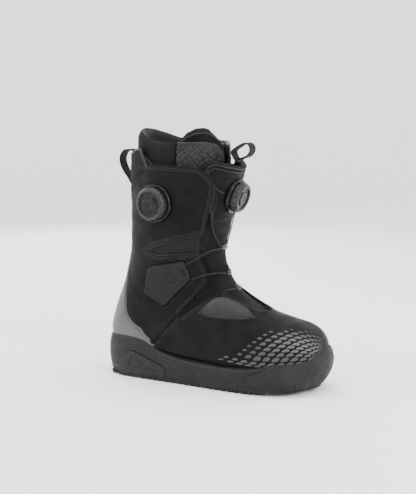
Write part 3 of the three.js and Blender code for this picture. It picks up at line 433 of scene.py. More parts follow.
def stitches(name, paths, finish, body="shell", offsets=(0.0,), **sizes):
    """Rows of stitches beside paths over the last. Each path is an array of (station, angle, depth)
    places, and a row lies at each offset in millimetres to its side, every other row half a pitch on."""
    look = bpy.context.scene.boot_sizes
    pitch = sizes.get("pitch", look.stitch_pitch / MM)
    width = sizes.get("width", look.stitch_width / MM)
    shape, shape_faces = stitch_shape(pitch * sizes.get("fill", 0.72), width, width * 0.55)
    points, faces, count = [], [], 0
    for places in paths:
        rail = last(*places.T)
        run = np.concatenate([[0], np.cumsum(np.linalg.norm(np.diff(rail, axis=0), axis=1))])
        for k, offset in enumerate(offsets):
            at = np.arange(pitch * (0.5 + 0.5 * (k % 2)), run[-1] - pitch / 2, pitch)
            here = np.stack([np.interp(at, run, column) for column in places.T], 1)
            if len(here) < 3:
                continue
            normal = last_normal(here[:, 0], here[:, 1], here[:, 2])
            along, sideways, out = frames(last(*here.T), normal)
            origin = last(*here.T) + sideways * offset
            placed, numbers = copies(shape, shape_faces, origin, np.stack([along, sideways, out], 1))
            points.append(placed)
            faces.append(numbers + count)
            count += len(placed)
    piece = make(name, np.vstack(points), np.vstack(faces), finish, sharp=180.0, body=body)
    return piece


# ---------------------------------------------------------------- finishes
class Shader:
    """A material under construction: its node tree, its principled shader and its last normal."""

    def __init__(self, name, colour, roughness, sockets=()):
        """A principled material with its colour, roughness and any other sockets set."""
        self.material = bpy.data.materials.new(name)
        self.material.use_nodes = True
        self.tree = self.material.node_tree
        self.shader = self.tree.nodes["Principled BSDF"]
        self.colour = tuple(colour)
        self.material.diffuse_color = self.colour
        self.shader.inputs["Base Color"].default_value = self.colour
        self.shader.inputs["Roughness"].default_value = roughness
        self.shader.inputs["Specular IOR Level"].default_value = 0.3
        for socket, value in dict(sockets).items():
            self.shader.inputs[socket].default_value = value

    def node(self, kind, inputs, **settings):
        """Adds a node, with each input linked or set to a value."""
        made = self.tree.nodes.new("ShaderNode" + kind)
        for key, value in settings.items():
            setattr(made, key, value)
        for key, value in inputs.items():
            if isinstance(value, bpy.types.NodeSocket):
                self.tree.links.new(value, made.inputs[key])
            else:
                made.inputs[key].default_value = value
        return made

    def math(self, operation, a, b=0.0):
        """One operation on two values."""
        return self.node("Math", {0: a, 1: b}, operation=operation).outputs[0]

    def vector(self, operation, a, b=(0.0, 0.0, 0.0)):
        """One operation on two vectors."""
        found = self.node("VectorMath", {0: a, 1: b}, operation=operation)
        return found.outputs["Value" if operation == "LENGTH" else "Vector"]

    def place(self):
        """Where the point lies on the piece, in metres."""
        return self.node("TexCoord", {}).outputs["Object"]

    def cloth(self):
        """Where the point lies along and across the cloth, in metres."""
        return self.node("UVMap", {}, uv_map="cloth").outputs["UV"]

    def noise(self, scale, detail=3.0, where=None):
        """Clouds of the given scale, 0 to 1."""
        inputs = {"Vector": where or self.place(), "Scale": scale, "Detail": detail}
        return self.node("TexNoise", inputs).outputs["Fac"]

    def ramp(self, value, low, high, to_low=0.0, to_high=1.0):
        """Eases from to_low to to_high as the value goes from low to high."""
        inputs = {0: value, 1: low, 2: high, 3: to_low, 4: to_high}
        return self.node("MapRange", inputs, interpolation_type="SMOOTHSTEP").outputs[0]

    def blend(self, share, a, b):
        """A colour from a to b by the share."""
        inputs = {0: share, 6: a, 7: b}
        return self.node("Mix", inputs, data_type="RGBA").outputs[2]

    def paint(self, colour):
        """Sets the base colour."""
        self.tree.links.new(colour, self.shader.inputs["Base Color"])
        return self

    def polish(self, value):
        """Sets the roughness."""
        self.tree.links.new(value, self.shader.inputs["Roughness"])
        return self

    def tone(self):
        """The tone stored on each point, see set_tone."""
        return self.node("Attribute", {}, attribute_name="tone").outputs["Fac"]

    def bump(self, height, distance, strength=1.0):
        """Raises the surface by height times distance, in metres, over what was raised before."""
        made = self.node("Bump", {"Height": height, "Distance": distance, "Strength": strength})
        before = self.shader.inputs["Normal"]
        if before.is_linked:
            self.tree.links.new(before.links[0].from_socket, made.inputs["Normal"])
        self.tree.links.new(made.outputs["Normal"], before)
        return self

    def shades(self, amount, scale, detail=3.0):
        """The base colour made lighter and darker in soft clouds."""
        dark = tuple(c * (1 - amount) for c in self.colour[:3]) + (1.0,)
        light = tuple(min(1, c * (1 + amount)) for c in self.colour[:3]) + (1.0,)
        return self.blend(self.ramp(self.noise(scale, detail), 0.35, 0.65), dark, light)

    def dots(self, across, up, radius, soft=0.25):
        """1 inside dots on a staggered lattice in cloth millimetres: the nearer of two lattices'
        distances, one of them moved by half a pitch both ways."""
        pitch = (across, up, 1.0)
        cell = self.vector("DIVIDE", self.cloth(), pitch)
        found = []
        for shift in (0.0, 0.5):
            moved = self.vector("FRACTION", self.vector("ADD", cell, (shift, shift, 0.0)))
            centred = self.vector("SUBTRACT", moved, (0.5, 0.5, 0.0))
            flat = self.vector("MULTIPLY", centred, (across, up, 0.0))
            found.append(self.vector("LENGTH", flat))
        near = self.math("MINIMUM", *found)
        return self.ramp(near, radius - soft, radius + soft, 1.0, 0.0)

    def weave(self, pitch):
        """Plain weave in cloth millimetres: each thread's round back is a sine's size across it,
        and threads one way and the other change places over a chequer."""
        inputs = {"Vector": self.cloth(), "Scale": 1 / pitch}
        over = self.node("TexChecker", inputs).outputs["Fac"]
        cut = self.node("SeparateXYZ", {0: self.cloth()})
        backs = []
        for k in (0, 1):
            turn = self.math("MULTIPLY", cut.outputs[k], np.pi / pitch)
            backs.append(self.math("ABSOLUTE", self.math("SINE", turn)))
        choice = self.node("Mix", {0: over, 2: backs[0], 3: backs[1]}, data_type="FLOAT")
        return choice.outputs[0]

    def bands(self, pitch, axis=1):
        """Ribs a pitch apart across one cloth axis, as a raised cosine."""
        cut = self.node("SeparateXYZ", {0: self.cloth()}).outputs[axis]
        wave = self.math("COSINE", self.math("MULTIPLY", cut, 2 * np.pi / pitch))
        return self.node("Math", {0: wave, 1: 0.5, 2: 0.5}, operation="MULTIPLY_ADD").outputs[0]


FINISHED = {}


def finish(name):
    """The material of that name, built the first time that it is asked for."""
    if name not in FINISHED:
        FINISHED[name] = FINISHES[name](bpy.context.scene.boot_colours).material
    return FINISHED[name]


def nubuck(colours):
    """Matte synthetic nubuck: a fine nap, soft clouds where it was brushed, and a cloth sheen."""
    look = Shader("nubuck", colours.nubuck, 0.62, {"Sheen Weight": 0.02, "Specular IOR Level": 0.1})
    look.paint(look.shades(0.3, 45.0, 4.0))
    look.polish(look.ramp(look.noise(60.0), 0.3, 0.7, 0.52, 0.7))
    look.bump(look.noise(2600.0, 4.0), 0.00012)
    return look.bump(look.noise(260.0, 3.0), 0.00025, 0.5)


def film(colours):
    """Satin moulded film of the heel counter: fine pebble grain and a slow change of tone."""
    look = Shader("counter_film", colours.counter, 0.42, {"Coat Weight": 0.08})
    look.paint(look.shades(0.12, 22.0, 3.0))
    look.polish(look.ramp(look.noise(160.0, 4.0), 0.3, 0.7, 0.36, 0.5))
    return look.bump(look.noise(1500.0, 3.0), 0.00012)


def print_ink(colours):
    """Printed scales: satin ink, darkened by the tone on each point, which carries a painted
    highlight, painted shade on the medial side and painted shading across each scale.
    """
    look = Shader("scale_print", colours.scales, 0.36)
    dark = tuple(0.12 * c for c in look.colour[:3]) + (1.0,)
    look.paint(look.blend(look.tone(), dark, look.colour))
    return look.bump(look.noise(1400.0, 2.0), 0.00008)


def rib_film(colours):
    """Satin film with fine ribs, brightest where its tone is high; the tone carries painted shade
    between the ribs.
    """
    look = Shader("rib_film", colours.ribs, 0.42)
    look.paint(look.blend(look.tone(), (0.0035, 0.0035, 0.0035, 1.0), look.shades(0.18, 60.0)))
    return look.bump(look.noise(1800.0, 2.0), 0.00006)


def foam(colours):
    """Moulded foam of the midsole: fine skin pores and soft clouds of tone."""
    look = Shader("foam", colours.foam, 0.55, {"Specular IOR Level": 0.2})
    look.paint(look.shades(0.12, 30.0, 5.0))
    look.polish(look.ramp(look.noise(220.0, 3.0), 0.3, 0.7, 0.46, 0.62))
    return look.bump(look.noise(1900.0, 4.0), 0.00012)


def rubber(colours):
    """Moulded rubber: fine spark-eroded grain, scuffed a little lighter low down on the tread."""
    look = Shader("rubber", colours.rubber, 0.6, {"Specular IOR Level": 0.22})
    height = look.node("SeparateXYZ", {0: look.place()}).outputs[2]
    worn = look.math("MULTIPLY", look.ramp(height, 0.0, 0.004, 1.0, 0.0), look.noise(90.0, 5.0))
    scuffed = tuple(2.2 * c + 0.01 for c in look.colour[:3]) + (1.0,)
    look.paint(look.blend(worn, look.shades(0.15, 40.0), scuffed))
    return look.bump(look.noise(1500.0, 4.0), 0.00015)


def mesh_cloth(colours):
    """Open hexagon mesh: round holes on a staggered lattice, with threads between. The holes are
    painted near black: the dark backing seen through them, and painted shade in them.
    """
    look = Shader("mesh_cloth", colours.mesh, 0.6, {"Specular IOR Level": 0.16})
    holes = look.dots(3.4, 3.0, 0.95, 0.14)
    look.paint(look.blend(holes, look.shades(0.2, 300.0), (0.002, 0.002, 0.002, 1.0)))
    look.bump(look.noise(2400.0, 2.0), 0.00008)
    return look.bump(look.math("SUBTRACT", 1.0, holes), 0.0006)


def ripstop(colours):
    """Ribbed stretch cloth of the flex gusset."""
    look = Shader("gusset_cloth", tuple(0.45 * c for c in colours.mesh[:3]) + (1.0,), 0.7,
                  {"Specular IOR Level": 0.1})
    dark = tuple(0.3 * c for c in look.colour[:3]) + (1.0,)
    look.paint(look.blend(look.bands(1.5, 0), look.colour, dark))
    look.bump(look.weave(0.6), 0.00015)
    return look.bump(look.bands(1.5, 0), 0.0004)


def canvas(colours):
    """Plain weave canvas with slubs, and painted shade in the gaps between its threads."""
    look = Shader("canvas", colours.canvas, 0.8, {"Specular IOR Level": 0.15})
    tone = look.blend(look.weave(0.62), tuple(0.45 * c for c in look.colour), look.shades(0.25, 80.0))
    look.paint(tone)
    look.bump(look.noise(500.0, 4.0), 0.0001)
    return look.bump(look.weave(0.62), 0.0002)


def webbing(colours):
    """Woven tape: ribs across it, each rib twisted from fine threads, with painted shade in the
    troughs between the ribs.
    """
    look = Shader("webbing", colours.webbing, 0.72, {"Specular IOR Level": 0.2})
    look.paint(look.blend(look.bands(1.3, 1), tuple(0.35 * c for c in look.colour), look.colour))
    look.bump(look.weave(0.5), 0.00012)
    return look.bump(look.bands(1.3, 1), 0.0003)


def knit(colours):
    """Foam-backed knit of the liner: sunk dots on a staggered lattice in a warm dark cloth, with
    painted shade in the dots.
    """
    look = Shader("liner_knit", colours.liner, 0.78, {"Specular IOR Level": 0.12})
    holes = look.dots(4.4, 4.0, 1.05, 0.25)
    look.paint(look.blend(holes, look.shades(0.16, 60.0), (0.006, 0.006, 0.006, 1.0)))
    look.bump(look.weave(0.55), 0.0001)
    return look.bump(look.math("SUBTRACT", 1.0, holes), 0.0007)


def fleece(colours):
    """Brushed lining of the liner's inside."""
    dim = tuple(0.8 * c for c in colours.liner[:3]) + (1.0,)
    look = Shader("liner_fleece", dim, 0.9, {"Sheen Weight": 0.1, "Sheen Roughness": 0.4})
    look.paint(look.shades(0.2, 120.0, 5.0))
    return look.bump(look.noise(900.0, 6.0), 0.0004)


def embossed(colours):
    """Rubbery film over the liner's wraps: satin, with painted shade, near black, in the hollows
    between the raised straps.
    """
    look = Shader("embossed_film", colours.emboss, 0.46, {"Specular IOR Level": 0.2})
    look.paint(look.blend(look.tone(), (0.003, 0.003, 0.003, 1.0), look.shades(0.15, 70.0)))
    return look.bump(look.noise(1300.0, 3.0), 0.00012)


def plate(colours):
    """Injection moulded nylon: satin, with fine sparkle grain and faint handling scratches."""
    look = Shader("moulded_plate", colours.plate, 0.42, {"Specular IOR Level": 0.16})
    look.paint(look.shades(0.08, 50.0))
    marks = look.node("TexNoise", {"Vector": look.vector("MULTIPLY", look.place(), (1, 1, 9)),
                                   "Scale": 300.0, "Detail": 2.0}).outputs["Fac"]
    look.polish(look.ramp(marks, 0.35, 0.65, 0.34, 0.46))
    return look.bump(look.noise(2200.0, 2.0), 0.00007)


def gloss(colours):
    """Polished black nylon of the dials and guides, with faint smears in its shine."""
    look = Shader("gloss_nylon", colours.dial, 0.2, {"Specular IOR Level": 0.2})
    look.polish(look.ramp(look.noise(140.0, 4.0), 0.35, 0.65, 0.16, 0.3))
    return look.bump(look.noise(900.0, 2.0), 0.00003)


def grip(colours):
    """Moulded ring of a knob: dark metal-flake nylon, in fine lighter and darker flecks."""
    look = Shader("knob_ring", colours.ring, 0.3, {"Specular IOR Level": 0.28})
    look.paint(look.shades(0.2, 400.0, 2.0))
    look.polish(look.ramp(look.noise(300.0, 3.0), 0.3, 0.7, 0.24, 0.42))
    return look.bump(look.noise(1500.0, 2.0), 0.00006)


def lace_wire(colours):
    """Twisted steel cord in a nylon jacket: strands wound round it, in cloth coordinates, with
    painted shade in the grooves between the strands.
    """
    look = Shader("lace_wire", colours.lace, 0.4, {"Metallic": 0.45})
    cut = look.node("SeparateXYZ", {0: look.cloth()})
    turn = look.math("ADD", cut.outputs[0], cut.outputs[1])
    strand = look.math("ABSOLUTE", look.math("SINE", look.math("MULTIPLY", turn, 2.6)))
    look.paint(look.blend(strand, tuple(0.25 * c for c in look.colour), look.colour))
    return look.bump(strand, 0.00015)


def thread(colours):
    """Bonded sewing thread with a dull lustre."""
    look = Shader("thread", colours.thread, 0.5)
    return look.bump(look.noise(3000.0, 2.0), 0.00008)


def dark_edge(colours):
    """Cut edge and binding of the panels."""
    look = Shader("binding", colours.binding, 0.5)
    look.paint(look.shades(0.2, 90.0))
    return look.bump(look.noise(1600.0, 3.0), 0.0001)


def nylon(colours):
    """Natural moulded nylon of the spools and ratchet rings."""
    look = Shader("spool_nylon", (0.16, 0.16, 0.165, 1.0), 0.45)
    look.paint(look.shades(0.1, 200.0))
    return look.bump(look.noise(1500.0, 2.0), 0.00005)


def steel(colours):
    """Turned and plated steel."""
    look = Shader("turned_steel", (0.55, 0.56, 0.58, 1.0), 0.3, {"Metallic": 1.0})
    look.polish(look.ramp(look.noise(700.0, 3.0), 0.3, 0.7, 0.22, 0.4))
    return look.bump(look.noise(1800.0, 2.0), 0.00003)


def board(colours):
    """Pressed fibre of the lasting board."""
    look = Shader("fibre_board", (0.25, 0.22, 0.18, 1.0), 0.85)
    look.paint(look.shades(0.25, 160.0, 5.0))
    return look.bump(look.noise(700.0, 5.0), 0.0002)


def lining_cloth(colours):
    """Brushed black cloth inside the shell."""
    look = Shader("lining_cloth", (0.012, 0.012, 0.013, 1.0), 0.85)
    look.paint(look.shades(0.3, 300.0, 4.0))
    return look.bump(look.noise(1800.0, 3.0), 0.00015)


FINISHES = {
    "nubuck": nubuck, "film": film, "scales": print_ink, "ribs": rib_film, "foam": foam,
    "rubber": rubber, "mesh": mesh_cloth, "gusset": ripstop, "canvas": canvas,
    "webbing": webbing, "knit": knit, "fleece": fleece, "emboss": embossed, "plate": plate,
    "gloss": gloss, "grip": grip, "lace": lace_wire, "thread": thread, "binding": dark_edge,
    "nylon": nylon, "steel": steel, "board": board, "lining": lining_cloth,
}


# ---------------------------------------------------------------- the sole
SOLE_PLAN = np.array([
    [3.8, 0], [7.5, -20], [20, -34], [41, -42.5], [80, -46.5], [120, -49.5], [160, -53.5],
    [200, -57], [235, -57], [261, -51.5], [281, -43], [295, -29], [304.5, -9], [307, 8],
    [302, 29], [291, 45], [275, 53.5], [255, 57], [225, 56], [195, 52.5], [160, 48], [120, 46],
    [80, 45.5], [41, 42.5], [20, 34], [7.5, 20],
])
SOLE_COLUMNS = 560
SOLE_OUTLINE = curve(SOLE_PLAN, SOLE_COLUMNS, closed=True)
SOLE_ALONG = unit(np.roll(SOLE_OUTLINE, -2, 0) - np.roll(SOLE_OUTLINE, 2, 0))
SOLE_INWARD = np.stack([-SOLE_ALONG[:, 1], SOLE_ALONG[:, 0]], 1)
TREAD_TOP = 4.2  # thickness of the rubber plate under the foam
ARCH_X = 116.5  # where the heel's tread meets the forefoot's
ARCH_SIDES = (-46.5, 43.5)  # edges of the tread there
LUG_PITCH = 18
CENTRE_LUG = (10, 14)  # length and width
EDGE_LUG = (12, 13)
BALL_LUG = (8, 9)
TOOTH = (5, 5.5)

sole_edge = knots(
    (4, 51), (16, 53), (40, 54), (62, 54.2), (70, 52.5), (80, 47.5), (90, 42), (98, 38.2),
    (110, 34.8), (125, 32.3), (150, 30.4), (189, 29), (220, 30.5), (250, 35.6), (270, 37.4),
    (284, 39), (297, 43), (303, 50), (307, 56),
)
HEEL_RUBBER = [(30, 4), (35, 10), (51, 35.5), (60, 35), (101, 21), (106, 14), (103, 4)]
HEEL_GROOVE = [(48, 15.5), (56, 30), (93, 12.8)]
HEEL_LOW = knots((29, 7), (38, 5), (103, 5), (107, 12))
HEEL_HIGH = knots((29, 9), (33, 14), (41, 24), (50, 34.5), (53, 35.6), (60, 35), (80, 28), (99, 21.6),
                  (104, 18), (107, 12.5))
TOE_LOW = knots((222, 22), (227, 15), (236, 5), (245, 4), (320, 4))
TOE_HIGH = knots((222, 22.5), (231, 26), (242, 30), (249, 35.5), (256, 38.5), (262, 39.4), (284, 41),
                 (296, 45), (303, 53), (308, 59))


def ground_lift(x):
    """How far the tread lifts: a parabola before the heel's bevel and one after the ball."""
    toe = np.clip((x - 215) / 90, 0, None)
    heel = np.clip((40 - x) / 36, 0, None)
    return 19.0 * toe**2 + 3.0 * heel**2


def wall(column, height, out=0.0):
    """The side of the sole at a broken outline number and a height share between the tread and the
    upper edge: in from the outline by half a parabola above the widest level and one below it."""
    at = np.arange(-1, SOLE_COLUMNS + 2)
    ring = at % SOLE_COLUMNS
    wrapped = np.mod(column, SOLE_COLUMNS)
    x, y, ix, iy = (
        np.interp(wrapped, at, values[ring])
        for values in (*SOLE_OUTLINE.T, *SOLE_INWARD.T)
    )
    inset = 3.0 * np.clip((0.5 - height) / 0.5, 0, None) ** 2
    inset = inset + 2.8 * np.clip((height - 0.56) / 0.44, 0, None) ** 2.4 - out
    tread = LUG_HEIGHT + ground_lift(x)
    z = tread + height * (sole_edge(x) - tread)
    return np.stack([x + ix * inset, y + iy * inset, z], -1)


def column_at(x, side):
    """The outline number where the sole's edge has that x, on one side of the foot."""
    half = SOLE_OUTLINE[:, 1] * side > 0
    order = np.argsort(SOLE_OUTLINE[half, 0])
    numbers = np.flatnonzero(half)[order]
    return np.interp(x, SOLE_OUTLINE[half, 0][order], numbers)


def share_of(column, z):
    """The height share of a level on the wall."""
    x = wall(column, 0.5)[..., 0]
    tread = LUG_HEIGHT + ground_lift(x)
    return (z - tread) / (sole_edge(x) - tread)


def build_foam():
    """The midsole: its wall is ribbed along lines that run level with its upper edge, sunk beside
    the rubber, and closed over the top and the bottom towards the foot's middle line."""
    look = bpy.context.scene.boot_sizes
    rows = 104
    height = np.linspace(0, 1, rows)[:, None] + np.zeros(SOLE_COLUMNS)
    column = np.arange(SOLE_COLUMNS)[None] + 0 * height
    plain = wall(column, height)
    below = (1 - height) * (sole_edge(plain[..., 0]) - LUG_HEIGHT - ground_lift(plain[..., 0]))
    phase = below / (look.rib_pitch / MM)
    ribs = look.rib_height / MM * (np.sqrt(0.5 + 0.5 * np.cos(2 * np.pi * phase)) - 0.6)
    ribs = ribs * step(below, 1.5, 4) * step(height, 0.02, 0.2)
    flat = plain[..., [0, 2]]
    x = np.linspace(222, 312, 40)
    toe = np.concatenate([np.stack([x, TOE_HIGH(x)], 1), np.stack([x, TOE_LOW(x)], 1)[::-1]])
    patches = (np.array(HEEL_RUBBER, float), toe)
    sink = np.maximum(*(step(within(flat, outline), -1.8, -0.4) for outline in patches))
    body = wall(column, height, ribs * (1 - sink) - 1.1 * sink)
    inner = lambda inset, z: np.concatenate([SOLE_OUTLINE + SOLE_INWARD * inset, z[:, None]], 1)
    edge = sole_edge(SOLE_OUTLINE[:, 0])
    tread = LUG_HEIGHT + ground_lift(SOLE_OUTLINE[:, 0])
    middle = np.stack([np.clip(SOLE_OUTLINE[:, 0], 40, 270), 0 * edge, 0 * edge + 22.5], 1)
    low = middle * [1, 1, 0] + np.stack([0 * edge, 0 * edge, tread + TREAD_TOP - 0.5], 1)
    rings = [low, inner(7, tread + TREAD_TOP - 0.5), inner(4.5, tread)]
    top = [inner(3.8, edge + 0.4), inner(6, edge + 1.2), inner(9, edge + 2.4), inner(13, edge + 2.6)]
    top += [inner(14, mix(edge, 24, 0.9)), middle]
    points = np.concatenate([np.array(rings), body, np.array(top)])
    piece = surface("midsole_wall", points, finish("foam"), uv=ring_lengths(points), sharp=60)
    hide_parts("midsole")


def wall_patch(name, columns, low, high, relief, rows, cols):
    """A rubber patch on the wall between two levels, raised by relief(x, z, distance in)."""
    up, across = grid(rows, cols, 0.6, 0.6)
    column = mix(columns[0], columns[1], across)
    x = wall(column, 0.5 + 0 * column)[..., 0]
    z = mix(low(x), high(x), up)
    height = share_of(column, z)
    points = wall(column, height)
    border = np.concatenate([points[0], points[1:, -1], points[-1, -2::-1], points[-2:0:-1, 0]])
    gap, _ = nearest(points, np.vstack([border, border[:1]]))
    outer = wall(column, height, relief(points[..., 0], points[..., 2], gap))
    inner = wall(column, height, -2.0)
    piece = shell(name, outer, inner, finish("rubber"), uv=lengths(points), sharp=50)
    return piece


def heel_relief(x, z, gap):
    """A cushion with a round edge and a triangle let into it."""
    inside = within(np.stack([x, z], -1), rounded(HEEL_GROOVE, 4))
    return 0.7 * step(gap, 0, 1.4) - 1.3 * step(inside, -0.5, 0.5) + 0.5 * step(inside, 1.6, 2.6)


def toe_relief(x, z, gap):
    """A raised rim round the patch, and rows of short slanted dashes inside it."""
    dash_x, dash_z = (x + 0.55 * z) / 5.6, z / 2.9
    odd = np.floor(dash_z) % 2
    u = np.mod(dash_x + 0.5 * odd, 1) - 0.5
    v = np.mod(dash_z, 1) - 0.5
    dash = 1 - step(np.hypot(u * 1.35, v * 1.1), 0.3, 0.46)
    rim = step(gap, 0, 0.8) * 0.9 - 0.7 * step(gap, 2.2, 2.8)
    return rim + 0.6 * dash * step(gap, 3, 4)


def build_rubber():
    """Heel and toe rubber on the wall, and the tread: a plate under the foam with chamfered lugs,
    three rows of them across the foot and small teeth between the edge lugs."""
    for name, side in SIDES:
        spans = (column_at(29.5, side), column_at(106.5, side))
        wall_patch(f"heel_rubber_{name}", spans, HEEL_LOW, HEEL_HIGH, heel_relief, 70, 130)
    ends = (column_at(222.5, -1), column_at(222.5, 1))
    wall_patch("toe_rubber", ends, TOE_LOW, TOE_HIGH, toe_relief, 96, 400)

    tread = LUG_HEIGHT + ground_lift(SOLE_OUTLINE[:, 0])
    place = lambda inset, z: np.concatenate([SOLE_OUTLINE + SOLE_INWARD * inset, z[:, None]], 1)
    middle = np.stack([np.clip(SOLE_OUTLINE[:, 0], 40, 270), 0 * tread], 1)
    middle_lift = LUG_HEIGHT + ground_lift(middle[:, 0])
    centre = lambda z: np.concatenate([middle, z[:, None]], 1)
    for name, low_x, high_x in (("heel", -np.inf, ARCH_X - 0.2), ("forefoot", ARCH_X + 0.2, np.inf)):
        rings = np.array([
            centre(middle_lift + TREAD_TOP), place(4, tread + TREAD_TOP), place(2.2, tread + 1.6),
            place(2.4, tread + 0.5), place(3.6, tread), centre(middle_lift),
        ])
        rings[..., 0] = np.clip(rings[..., 0], low_x, high_x)
        if name == "heel":
            rings[..., 1] = np.clip(rings[..., 1], *ARCH_SIDES)
        plate_piece = surface(f"tread_plate_{name}", rings, finish("rubber"), uv=ring_lengths(rings))
        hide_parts(f"outsole_{name}")

    places = [(288, 0, *CENTRE_LUG)]
    for x in [*range(24, 115, LUG_PITCH), *range(126, 280, LUG_PITCH)]:
        between = x + LUG_PITCH / 2
        places.append((x, 3 if round(x / LUG_PITCH) % 2 else -3, *CENTRE_LUG))
        for side in (-1, 1):
            reach, tooth = (np.abs(wall(column_at(at, side), 0.0)[1]) for at in (x, between))
            places.append((x, side * (reach - 7.5), *EDGE_LUG))
            places.append((between, side * (tooth - 3.6), *TOOTH))
            if x > 150:
                places.append((between, side * 15, *BALL_LUG))
    x, y, long, wide = np.array(places, float).T
    turn = np.linspace(0, 2 * np.pi, 17)[:-1]
    square = np.stack([np.cos(turn), np.sin(turn)], 1)
    square = square / np.abs(square).max(1, keepdims=True) ** 0.8
    levels = [(0, 0.01), (0, 0.84), (0.7, 0.98), (LUG_HEIGHT + 0.6, 1.06), (LUG_HEIGHT + 0.6, 0.01)]
    shape = np.stack([np.concatenate([square * size / 2, 0 * square[:, :1] + z], 1) for z, size in levels])
    numbers = cells(len(levels) - 1, 16, lambda i, j: i * 16 + j % 16)
    axes = np.zeros((len(x), 3, 3))
    axes[:, 0, 0], axes[:, 1, 1], axes[:, 2, 2] = long, wide, 1
    lift = np.maximum(ground_lift(x - 5), ground_lift(x + 5))
    origins = np.stack([x, y, lift], 1)
    points, faces = copies(shape.reshape(-1, 3), numbers, origins, axes)
    lugs = make("tread_lugs", points, faces, finish("rubber"), sharp=50)


# ---------------------------------------------------------------- the shell
throat = knots(
    (5.05, 0.6), (5.12, 6), (5.3, 12), (5.6, 17), (5.9, 20), (7, 27), (8.2, 33), (9.6, 38),
    (11.2, 36.5), (13.6, 43.5), (15.2, 43.5), (17, 42.5), (17.9, 44.5), (18.3, 50.5), (19.5, 60),
)
vamp_rear = knots((0, 8.2), (35, 8.22), (50, 8.62), (65, 8.98), (80, 9.22), (94, 9.2), (115, 9.14))
cuff_front = knots(
    (9.3, 38), (9.75, 39.5), (11.2, 36.5), (13.6, 43.5), (15.2, 43.5), (17, 42.5), (17.9, 44.5),
    (18.3, 50.5),
)
gusset_top = knots((34, 9.8), (50, 9.52), (79, 9.34))
cuff_low = knots((0, 9.8), (0.15, 9.5), (0.3, 9.42), (0.55, 9.28))
cuff_high = knots((0, 17.95), (0.02, 18.3), (0.09, 18.55), (0.35, 18.6))
counter_edge = knots(
    (9, 118), (9.6, 104), (10.5, 101), (11.5, 108), (12.6, 117.5), (13.6, 131), (14.6, 148),
    (15.4, 163), (15.9, 176),
)
collar_low = knots(
    (100, 18.8), (106.5, 18.56), (112.5, 18.42), (120, 18.14), (137, 17.66), (155, 17.24),
    (167, 17.04), (180, 16.92),
)
collar_high = knots((112.5, 18.48), (124.5, 19.13), (135, 19.05), (145, 18.94), (180, 18.86))
VAMP_WRAP = 118.0  # angle where the vamp ends, inside the sole
BACK_SEAM = 179.5
MM_PER_STATION = 35.0  # up the back of the shaft
MM_PER_STATION_LOW = 24.0  # at the ankle
MM_PER_DEGREE = 0.9  # round the heel
VENT = [(86, 167), (95, 163.5), (124, 166), (147, 167.5), (151.5, 188), (124, 181.5), (96, 173)]
PLATE = [(83, 147), (130, 156.5), (137, 133), (103, 97), (76, 114), (78, 122)]
VENT_LINE = rounded(VENT, 3.5)
PLATE_LINE = rounded(PLATE, 3.0)
BORDER = (3.0, 5.4)  # of the two stitch rows beside an edge
VAMP_EDGE = 1.3  # radius of the cut edge
CUFF_EDGE = 1.2


def soft_bumps(points, size=26.0, height=0.3):
    """A gentle unevenness of hand-lasted cloth: the product of three slow sines."""
    x, y, z = np.moveaxis(points, -1, 0) / size * 2 * np.pi
    return height * np.sin(x + 0.7 * z) * np.sin(0.8 * y + 1.3) * np.sin(0.9 * z + 0.4 * x)


def build_vamp():
    """The vamp, from the toe tip back to the ankle on both sides of the throat, raised along the
    throat where its edge is doubled, with the printed scales and the ribbed film over it."""
    rows, cols = 150, 104
    t, _ = grid(rows, 2 * cols + 1)
    run = 0.45 * t + 0.55 * t**2
    column = np.arange(2 * cols + 2)
    side = np.where(column <= cols, -1, 1)
    share = spread(cols, 0.5)
    share = np.concatenate([share[::-1], share])[None] + 0 * t
    guess = mix(throat(run * 8.6), VAMP_WRAP, share)
    station = 0.015 + run * (vamp_rear(guess) - 0.015)
    angle = mix(throat(station), VAMP_WRAP, share)
    edge = np.linspace(5.08, 8.4, 90)
    rail = np.concatenate([last(edge[::-1], throat(edge[::-1])), last(edge, -throat(edge))])
    turned = -side * angle
    plain = last(station, turned)
    gap, _ = nearest(plain, rail)
    depth = cut_edge(gap, VAMP_EDGE) - 0.45 * (1 - step(gap, 6.4, 7.4))
    rear = (vamp_rear(angle) - station) * MM_PER_STATION_LOW
    depth = depth + cut_edge(rear, VAMP_EDGE) - soft_bumps(plain, 34, 0.22)
    keep = np.ones((rows, 2 * cols + 1), bool)
    keep[:, cols] = station[1:, cols] < 5.07
    outer = last(station, turned, depth)
    inner = last(station, turned, PANEL + 0 * depth)
    piece = shell("vamp_cover", outer, inner, finish("nubuck"), uv=lengths(plain), keep=keep)
    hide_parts("vamp")

    paths = []
    for way in (-1, 1):
        at = np.linspace(5.25, 8.12, 60)
        paths.append(np.stack([at, way * throat(at), 0 * at - 0.5], 1)[::way])
    stitches("throat_stitches", paths, finish("thread"), offsets=BORDER)
    for name, side in SIDES:
        build_ribs(name, side)
    build_scales()


RIBS_HIGH = [(149, 92.5), (160, 103.5), (171, 111.5), (181, 112.5), (196, 107.5), (209, 100.5), (222, 91.5)]
RIBS_LOW = [(148.5, 91), (163, 89), (180, 88.5), (198, 88.5), (210, 89), (222.5, 90.6)]
RIBS = 11


